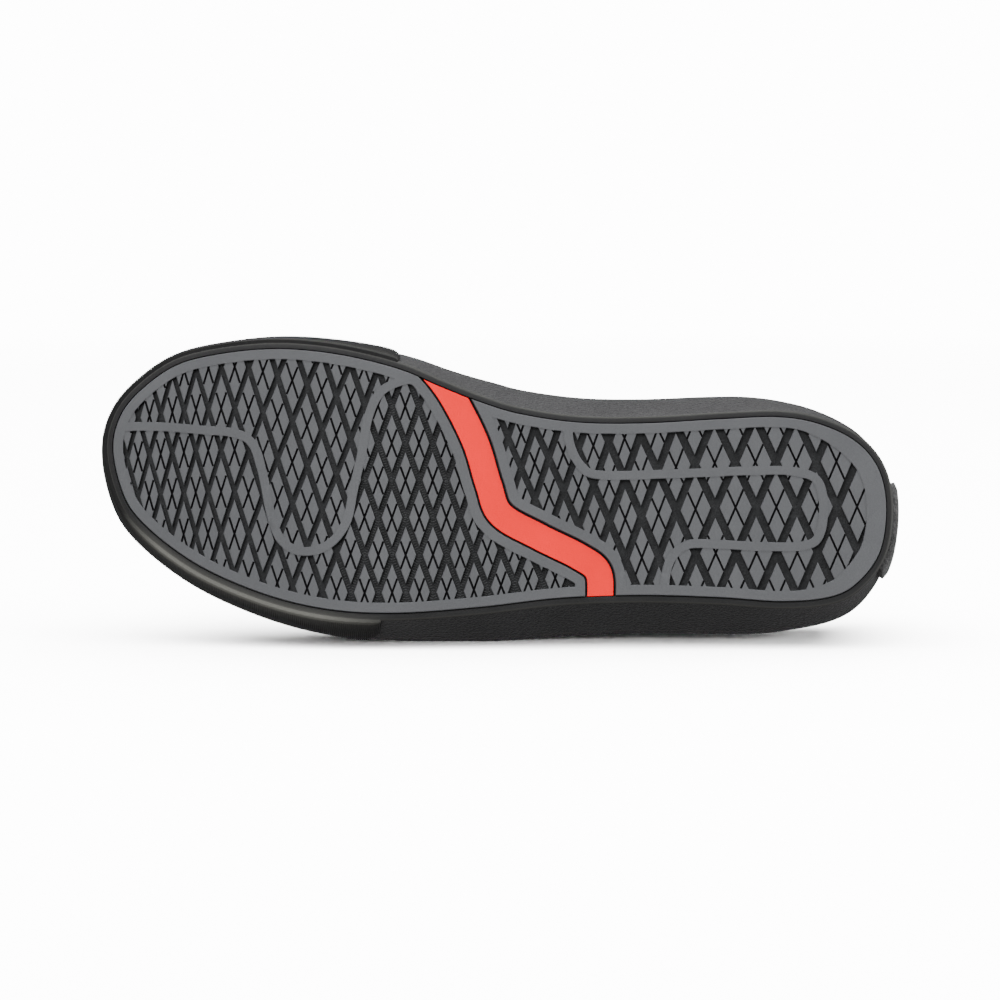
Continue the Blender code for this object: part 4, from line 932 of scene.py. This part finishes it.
def welded(name, parts, lining=None):
    """Mesh of several grids of points: rows of each are joined in order, and shared edges are welded.

    Each part is (grid, closed, kept), with kept a mask over its faces or None. The first part's faces
    from the row lining on take the second material.
    """
    verts, faces, slots = [], [], []
    for grid, closed, kept in parts:
        quads = sheet_faces(len(grid), grid.shape[1], closed) + len(verts)
        row = np.arange(len(quads)) // (len(quads) // (len(grid) - 1))
        lined = (row >= lining) if lining and not verts else row < 0
        if kept is not None:
            quads, lined = quads[kept], lined[kept]
        faces += quads.tolist()
        slots += lined.astype(int).tolist()
        verts += grid.reshape(-1, 3).tolist()
    return built(name, verts, faces, slots, WELD)


def rolled(outer, inner, round_top):
    """Rows from the outer grid over a rounded top edge to the inner grid and back to the first row."""
    centre, half = (outer[-1] + inner[-1]) / 2, (outer[-1] - inner[-1]) / 2
    rising = unit(outer[-1] - outer[-2]) * np.linalg.norm(half, axis=-1, keepdims=True) * round_top
    lips = [centre + half * math.cos(a) + rising * math.sin(a) for a in np.radians(LIP_ANGLES)]
    return np.concatenate([outer, lips, inner[::-1], outer[:1]])


def end_strips(over, under):
    """Parts that close a rolled grid at its two ends."""
    return [(np.stack([over[:, end], under[:, end]]), False, None) for end in (0, -1)]


def open_faces(grid, outer_rows, opened, closed):
    """Mask of the faces of a rolled grid that leaves out the rounded edge where the two sides meet."""
    count = grid.shape[1]
    per_row = count if closed else count - 1
    row, i = np.divmod(np.arange((len(grid) - 1) * per_row), per_row)
    lip = (row >= outer_rows - 1) & (row < outer_rows + len(LIP_ANGLES))
    return ~lip | opened[i] | opened[(i + 1) % count]


def leather(name, colour, worn, roughness, grain_size, bump):
    """Leather with a fine grain."""
    return mottled(name, colour, worn, roughness, 0.025, grain_size, 0.25, bump)


upper_leather = leather("upper_leather", srgb(24, 24, 25), srgb(34, 34, 35), 0.5, 0.0008, 0.00012)
lining_cloth = mottled("lining_cloth", srgb(40, 40, 42), srgb(50, 50, 52), 0.95, 0.02, 0.0006, 0.5, 0.0002)
stations = np.arange(0, LAP, 0.25)
rises = np.concatenate([np.linspace(0, 0.76, 20), np.linspace(0.79, 1, 12)])[:, None]
opened = opening(stations) > OPEN
mirror = (-np.arange(len(stations))) % len(stations)
outer = skin(stations, rises, 0.0)
pad = np.clip((outer[..., 2] / HEEL_HEIGHT - 0.55) / 0.20, 0, 1)
pad *= np.clip((0.412 * SOLE_LENGTH - outer[..., 0]) / 0.020, 0, 1)
thick = LEATHER + (COLLAR_PAD - LEATHER) * pad
inner = upper_at(stations, rises) - upper_facing(stations, rises) * thick[..., None]
foot_z = PLATE_TOP + GAP
foot_out = wall_offset(LOOP[::2, 0], foot_z) - WALL_THICKNESS - GAP
sheets = []
for grid, back in ((outer, 0.0), (inner, LEATHER)):
    foot = plan_ring(LOOP[::2], OUTWARD[::2], foot_out - back, foot_z)
    grid[-1, ~opened] = ((grid[-1] + grid[-1][mirror]) / 2)[~opened]
    sheets.append(np.concatenate([foot[None], (foot + grid[0])[None] / 2, grid]))
outer, inner = sheets
shell = rolled(outer, inner, 0.5)
faces_kept = open_faces(shell, len(outer), opened, True)


def laid_panel(low, high, front, back, lift, falls, columns, count):
    """Grid of a thin panel on the upper. falls says which edges turn down: bottom, top, both sides."""
    down = (0.0, 0.004, 0.012)
    across = np.concatenate([down, np.linspace(0.03, 0.97, columns), [1 - d for d in down[::-1]]])
    along = np.concatenate([down, np.linspace(0.03, 0.97, count), [1 - d for d in down[::-1]]])
    rise = low + (high - low) * along[:, None] + 0 * across[None, :]
    begin, end = front(rise), back(rise)
    station = begin + (end - begin) * across[None, :]
    drop = np.ones(rise.shape)
    profile = np.array([-0.5, 0.75, 1.0])
    if falls[0]:
        drop[:3] = np.minimum(drop[:3], profile[:, None])
    if falls[1]:
        drop[-3:] = np.minimum(drop[-3:], profile[::-1, None])
    if falls[2]:
        drop[:, :3] = np.minimum(drop[:, :3], profile)
        drop[:, -3:] = np.minimum(drop[:, -3:], profile[::-1])
    return skin(station, rise, lift * drop)


def cap_edge(rise):
    """Station of the toe cap's edge."""
    return 7.6 - 0.5 * rise


def quarter_edge(rise):
    """Station of a quarter's front edge."""
    return 17.4 - 4.2 * rise ** 1.5


def counter_edge(rise):
    """Stations from the back of the heel to the counter's edge."""
    return 7 - 8 * rise ** 2


toe_cap = laid_panel(0.0, 1.0, lambda r: -cap_edge(r), cap_edge, PANEL, (False, False, True), 90, 26)
toe_cap[-1] = (toe_cap[-1] + toe_cap[-1, ::-1]) / 2
quarters = laid_panel(0.0, 0.985, quarter_edge, lambda r: LAP - quarter_edge(r), PANEL,
                      (False, True, True), 150, 28)
counter = laid_panel(0.0, 0.70, lambda r: STATIONS - counter_edge(r), lambda r: STATIONS + counter_edge(r),
                     2 * PANEL, (False, True, True), 44, 20)
mesh = welded("upper", [(shell, True, faces_kept), (toe_cap, False, None), (quarters, False, None),
                        (counter, False, None)], len(outer) + 2)
dressed("upper_leather_shell", mesh, (upper_leather, lining_cloth), ("upper",), 50)

# Stitching. Rows of black thread beside the edges of the panels.
thread = mottled("black_thread", srgb(40, 40, 41), srgb(48, 48, 49), 0.7, 0.02, 0.0003, 0.2, 0.00003)
STITCH, STITCH_PITCH, THREAD = 0.0020, 0.0029, 0.00035


def stitches(lines):
    """Short rounded stitches along lines of 3-D points, each with its normals."""
    verts, faces = [], []
    for line, normal in lines:
        length = np.linalg.norm(np.diff(line, axis=0), axis=1).sum()
        count = int(length / STITCH_PITCH)
        both = resample(np.hstack([line, normal]), 2 * count + 1)
        for k in range(count):
            a, b, up = both[2 * k, :3], both[2 * k + 1, :3], both[2 * k, 3:]
            side = unit(np.cross(b - a, up)) * THREAD
            b = a + (b - a) * STITCH / STITCH_PITCH * 2
            middle = (a + b) / 2 + up * THREAD * 1.2
            faces += [tuple(len(verts) + v for v in face) for face in ((0, 1, 3, 2), (2, 3, 5, 4))]
            for spot, wide in ((a, 0.5), (middle, 1.0), (b, 0.5)):
                verts += [spot - side * wide, spot + side * wide]
    mesh = bpy.data.meshes.new("stitches")
    mesh.from_pydata([tuple(map(float, v)) for v in verts], [], faces)
    return mesh


def seam(station, rise, out):
    """Line on the dressed upper, with its normals."""
    return skin(station, rise, out), upper_facing(station, rise)


rise = np.linspace(0.03, 0.97, 60)
seams = []
for inset in (0.22, 0.42):
    for side in (1, -1):
        seams.append(seam(side * (cap_edge(rise) - inset), rise, PANEL))
        seams.append(seam(side * (quarter_edge(rise) + inset), rise * 0.76, PANEL))
        low = rise * 0.66
        seams.append(seam(STATIONS + side * (counter_edge(low) - inset), low, 2 * PANEL))
collar_way = np.linspace(23.5, LAP - 23.5, 240)
seams.append(seam(collar_way, np.full(len(collar_way), 0.80), PANEL))
dressed("panel_stitching", stitches(seams), (thread,), ())

# Eyestay. A thicker leather overlay, bent round the throat in a U, with six pairs of punched eyelets.
OVERLAY, EYELET_PAIRS, EYELET_RADIUS, EYELET_RISE = 0.0012, 6, 0.0021, 0.89
EYESTAY_STATIONS, EYELET_SPAN = (11, 21), (0.385, 0.555)
stay_leather = leather("eyestay_leather", srgb(22, 22, 23), srgb(30, 30, 31), 0.5, 0.0007, 0.0001)
stations = np.linspace(*EYESTAY_STATIONS, 81)
front = np.clip((stations - EYESTAY_STATIONS[0]) / 1.6, 0, 1)
lowest = 0.775 + 0.20 * (1 - np.sqrt(front * (2 - front)))
share = np.concatenate([[0, 0.02, 0.06], np.linspace(0.12, 1, 12)])[:, None]
rises = lowest + (1 - lowest) * share
edge = np.clip(share / 0.06, 0, 1) * np.ones(len(stations))
edge[:, [0, -1]], edge[:, [1, -2]] = 0.3, np.minimum(edge[:, [1, -2]], 0.8)
lift = GAP + PANEL + OVERLAY * (0.25 + 0.75 * np.sqrt(edge))
opened = opening(stations) > OPEN
sides = [[skin(way * stations, rises, out) for out in (lift, GAP)] for way in (1, -1)]
for medial, lateral in zip(*sides):
    medial[-1, ~opened] = lateral[-1, ~opened] = ((medial[-1] + lateral[-1]) / 2)[~opened]
parts = []
for over, under in sides:
    overlay = rolled(over, under, 0.5)
    parts += [(overlay, False, open_faces(overlay, len(over), opened, False))] + end_strips(over, under)
mesh = welded("eyestay", parts)
dressed("eyestay_leather_overlay", mesh, (stay_leather,), ("eyestay",), 50)
seams = [seam(way * stations[6:-2], lowest[6:-2] + inset, GAP + PANEL + OVERLAY)
         for way in (1, -1) for inset in (0.022, 0.042)]
dressed("eyestay_stitching", stitches(seams), (thread,), ())


def eyelet_station(index, side):
    """Station of an eyelet, from the vamp upwards. side is 1 on the medial side."""
    first, last = EYELET_SPAN
    return side * STATIONS * (first + (last - first) * index / (EYELET_PAIRS - 1))


# Radius as a share of EYELET_RADIUS and height over the leather, from the rim's edge to the floor: a black
# disc of painted shade that stands for the open hole
EYELET_PROFILE = ((1.30, 0.0), (1.22, 0.0003), (1.02, 0.0003), (0.95, 0.0), (0.95, -0.0016))
EYELET_SIDES = 24
eyelet_black = mottled("eyelet_black", srgb(12, 12, 12), srgb(18, 18, 18), 0.6, 0.01, 0.0004, 0.1, 0.00002)
verts, faces = [], []
around = np.linspace(0, math.tau, EYELET_SIDES + 1)[:-1, None]
for station in (eyelet_station(index, side) for index in range(EYELET_PAIRS) for side in (1, -1)):
    centre = skin(station, EYELET_RISE, GAP + PANEL + OVERLAY)
    normal = upper_facing(station, EYELET_RISE)
    level_way = unit(np.cross(normal, (0.0, 0.0, 1.0)))
    turned = np.cos(around) * level_way + np.sin(around) * np.cross(normal, level_way)
    quads = sheet_faces(len(EYELET_PROFILE), EYELET_SIDES, True) + len(verts)
    for radius, height in EYELET_PROFILE:
        verts += (centre + normal * height + turned * EYELET_RADIUS * radius).tolist()
    faces += quads.tolist() + [range(len(verts) - EYELET_SIDES, len(verts))]
mesh = bpy.data.meshes.new("eyelets")
mesh.from_pydata(verts, [], faces)
dressed("eyelet_edges", mesh, (eyelet_black,), ())

# Tongue. Padded black cloth under the throat, sewn in under the vamp and free at its top.
TONGUE_THICKNESS, TONGUE_RISE = 0.0045, 0.027
tongue_cloth = mottled("tongue_cloth", srgb(26, 26, 27), srgb(34, 34, 35), 0.9, 0.02, 0.0006, 0.45, 0.00018)
# How far the tongue lies below the upper's outer face, and the rises between which it is seated
UNDER, TONGUE_SEAT = LEATHER + 3 * GAP, np.array((0.56, 0.78, 1.0))


def tongue_row(station):
    """Points across the tongue's outer face, under the edges of the eyestay."""
    sides = []
    for way in (1, -1):
        place = way * station, TONGUE_SEAT
        low, mid, top = upper_at(*place) - upper_facing(*place) * UNDER
        sides.append([(low + mid) / 2, mid, mid * 0.45 + top * 0.55])
    edge = (upper_at(station, 1.0) + upper_at(-station, 1.0)) / 2
    normal = unit(upper_facing(station, 1.0) + upper_facing(-station, 1.0))
    half = float(opening(station)) * BALL_WIDTH
    return np.array(sides[0] + [edge + normal * (0.16 * half - UNDER)] + sides[1][::-1])


rows = [tongue_row(float(station)) for station in range(*EYESTAY_STATIONS)]
last, centre = rows[-1], rows[-1][3]
step = unit(centre - rows[-2][3])
for rise, narrow, droop in ((0.40, 0.66, 0.46), (0.84, 0.64, 0.38), (1.0, 0.48, 0.30)):
    rows.append(centre + step * TONGUE_RISE * rise + (last - centre) * (droop, narrow, droop))
rows = np.array([smooth_line(row, 6) for row in rows])
rows = smooth_line(rows.reshape(len(rows), -1), 5).reshape(-1, rows.shape[1], 3)
normal = unit(np.cross(np.gradient(rows, axis=0), np.gradient(rows, axis=1)))
normal *= np.sign(normal[len(rows) // 2, rows.shape[1] // 2, 2])
to_side = np.clip((1 - np.abs(np.linspace(-1, 1, rows.shape[1]))) / 0.22, 0, 1)
to_top = np.clip(np.linspace(0, len(rows) / 5, len(rows))[::-1, None], 0, 1)
puff = np.sqrt(to_side * to_top)[..., None]
over = rows - normal * TONGUE_THICKNESS * 0.30 * (1 - puff)
under = rows - normal * TONGUE_THICKNESS * (0.62 + 0.38 * puff)
mesh = welded("tongue", [(rolled(over, under, 0.9), False, None)] + end_strips(over, under))
tongue = dressed("tongue_padded_cloth", mesh, (tongue_cloth,), ("tongue",), 60)

# Laces. One flat woven cotton lace, pulled tight: a bar over the lowest pair of eyelets, then crossings.
LACE_WIDTH, LACE_THICKNESS, LACE_CROWN = 0.0072, 0.0013, 0.10
lace_cotton = mottled("lace_cotton", srgb(30, 30, 31), srgb(38, 38, 39), 0.95, 0.01, 0.0005, 0.6, 0.00025)
straps = [((0, 1), (0, -1))]
for index in range(EYELET_PAIRS - 1):
    straps += [((index, 1), (index + 1, -1)), ((index, -1), (index + 1, 1))]
verts, faces = [], []
LACE_SIDES = 12
angles = np.linspace(0, math.tau, LACE_SIDES + 1)[:-1]
ring_x, ring_y = (np.sign(wave) * np.abs(wave) ** 0.6 for wave in (np.cos(angles), np.sin(angles)))
for number, (start, end) in enumerate(straps):
    lift = LACE_THICKNESS * (0.0 if number == 0 else 0.15 + 0.3 * ((number - 1) % 2))
    over = GAP + PANEL + OVERLAY + LACE_THICKNESS / 2 + lift
    first, last = eyelet_station(*start), eyelet_station(*end)
    lean = 0.15 * (abs(last) - abs(first))
    path, normals = [], []
    for station, shift in ((first, lean), (last, -lean)):
        way = math.copysign(1, station)
        spots = ((station, EYELET_RISE, 0.0), (station + way * shift * 0.3, EYELET_RISE + 0.045, over),
                 (station + way * shift, 1.0, over + 2 * GAP))
        path.append([skin(s, r, out) for s, r, out in spots])
        normals.append([upper_facing(s, r) for s, r, out in spots])
    rims = (path[0][2], path[1][2])
    crown = (rims[0] + rims[1]) / 2 + (0, 0, LACE_CROWN * abs(rims[0][1] - rims[1][1]))
    path = np.array(path[0] + [crown] + path[1][::-1])
    normals = np.array(normals[0] + [unit(normals[0][2] + normals[1][2])] + normals[1][::-1])
    fine = smooth_line(np.hstack([path, normals]), 8)
    line, facing = fine[:, :3], fine[:, 3:]
    tangent = np.gradient(line, axis=0)
    side = unit(np.cross(tangent, facing))
    facing = unit(np.cross(side, tangent))
    share = np.linspace(0, 1, len(line))
    wide = LACE_WIDTH / 2 * (0.45 + 0.55 * np.clip(np.minimum(share, 1 - share) / 0.16, 0, 1))
    grid = (line[:, None] + side[:, None] * (wide[:, None] * ring_x)[..., None]
            + facing[:, None] * (LACE_THICKNESS / 2 * ring_y)[None, :, None])
    faces += (sheet_faces(len(grid), LACE_SIDES, True) + len(verts)).tolist()
    faces.append(range(len(verts), len(verts) + LACE_SIDES))
    verts += grid.reshape(-1, 3).tolist()
    faces.append(range(len(verts) - LACE_SIDES, len(verts)))
dressed("laces_flat_cotton", built("laces", verts, faces), (lace_cotton,), ("laces",), 60)
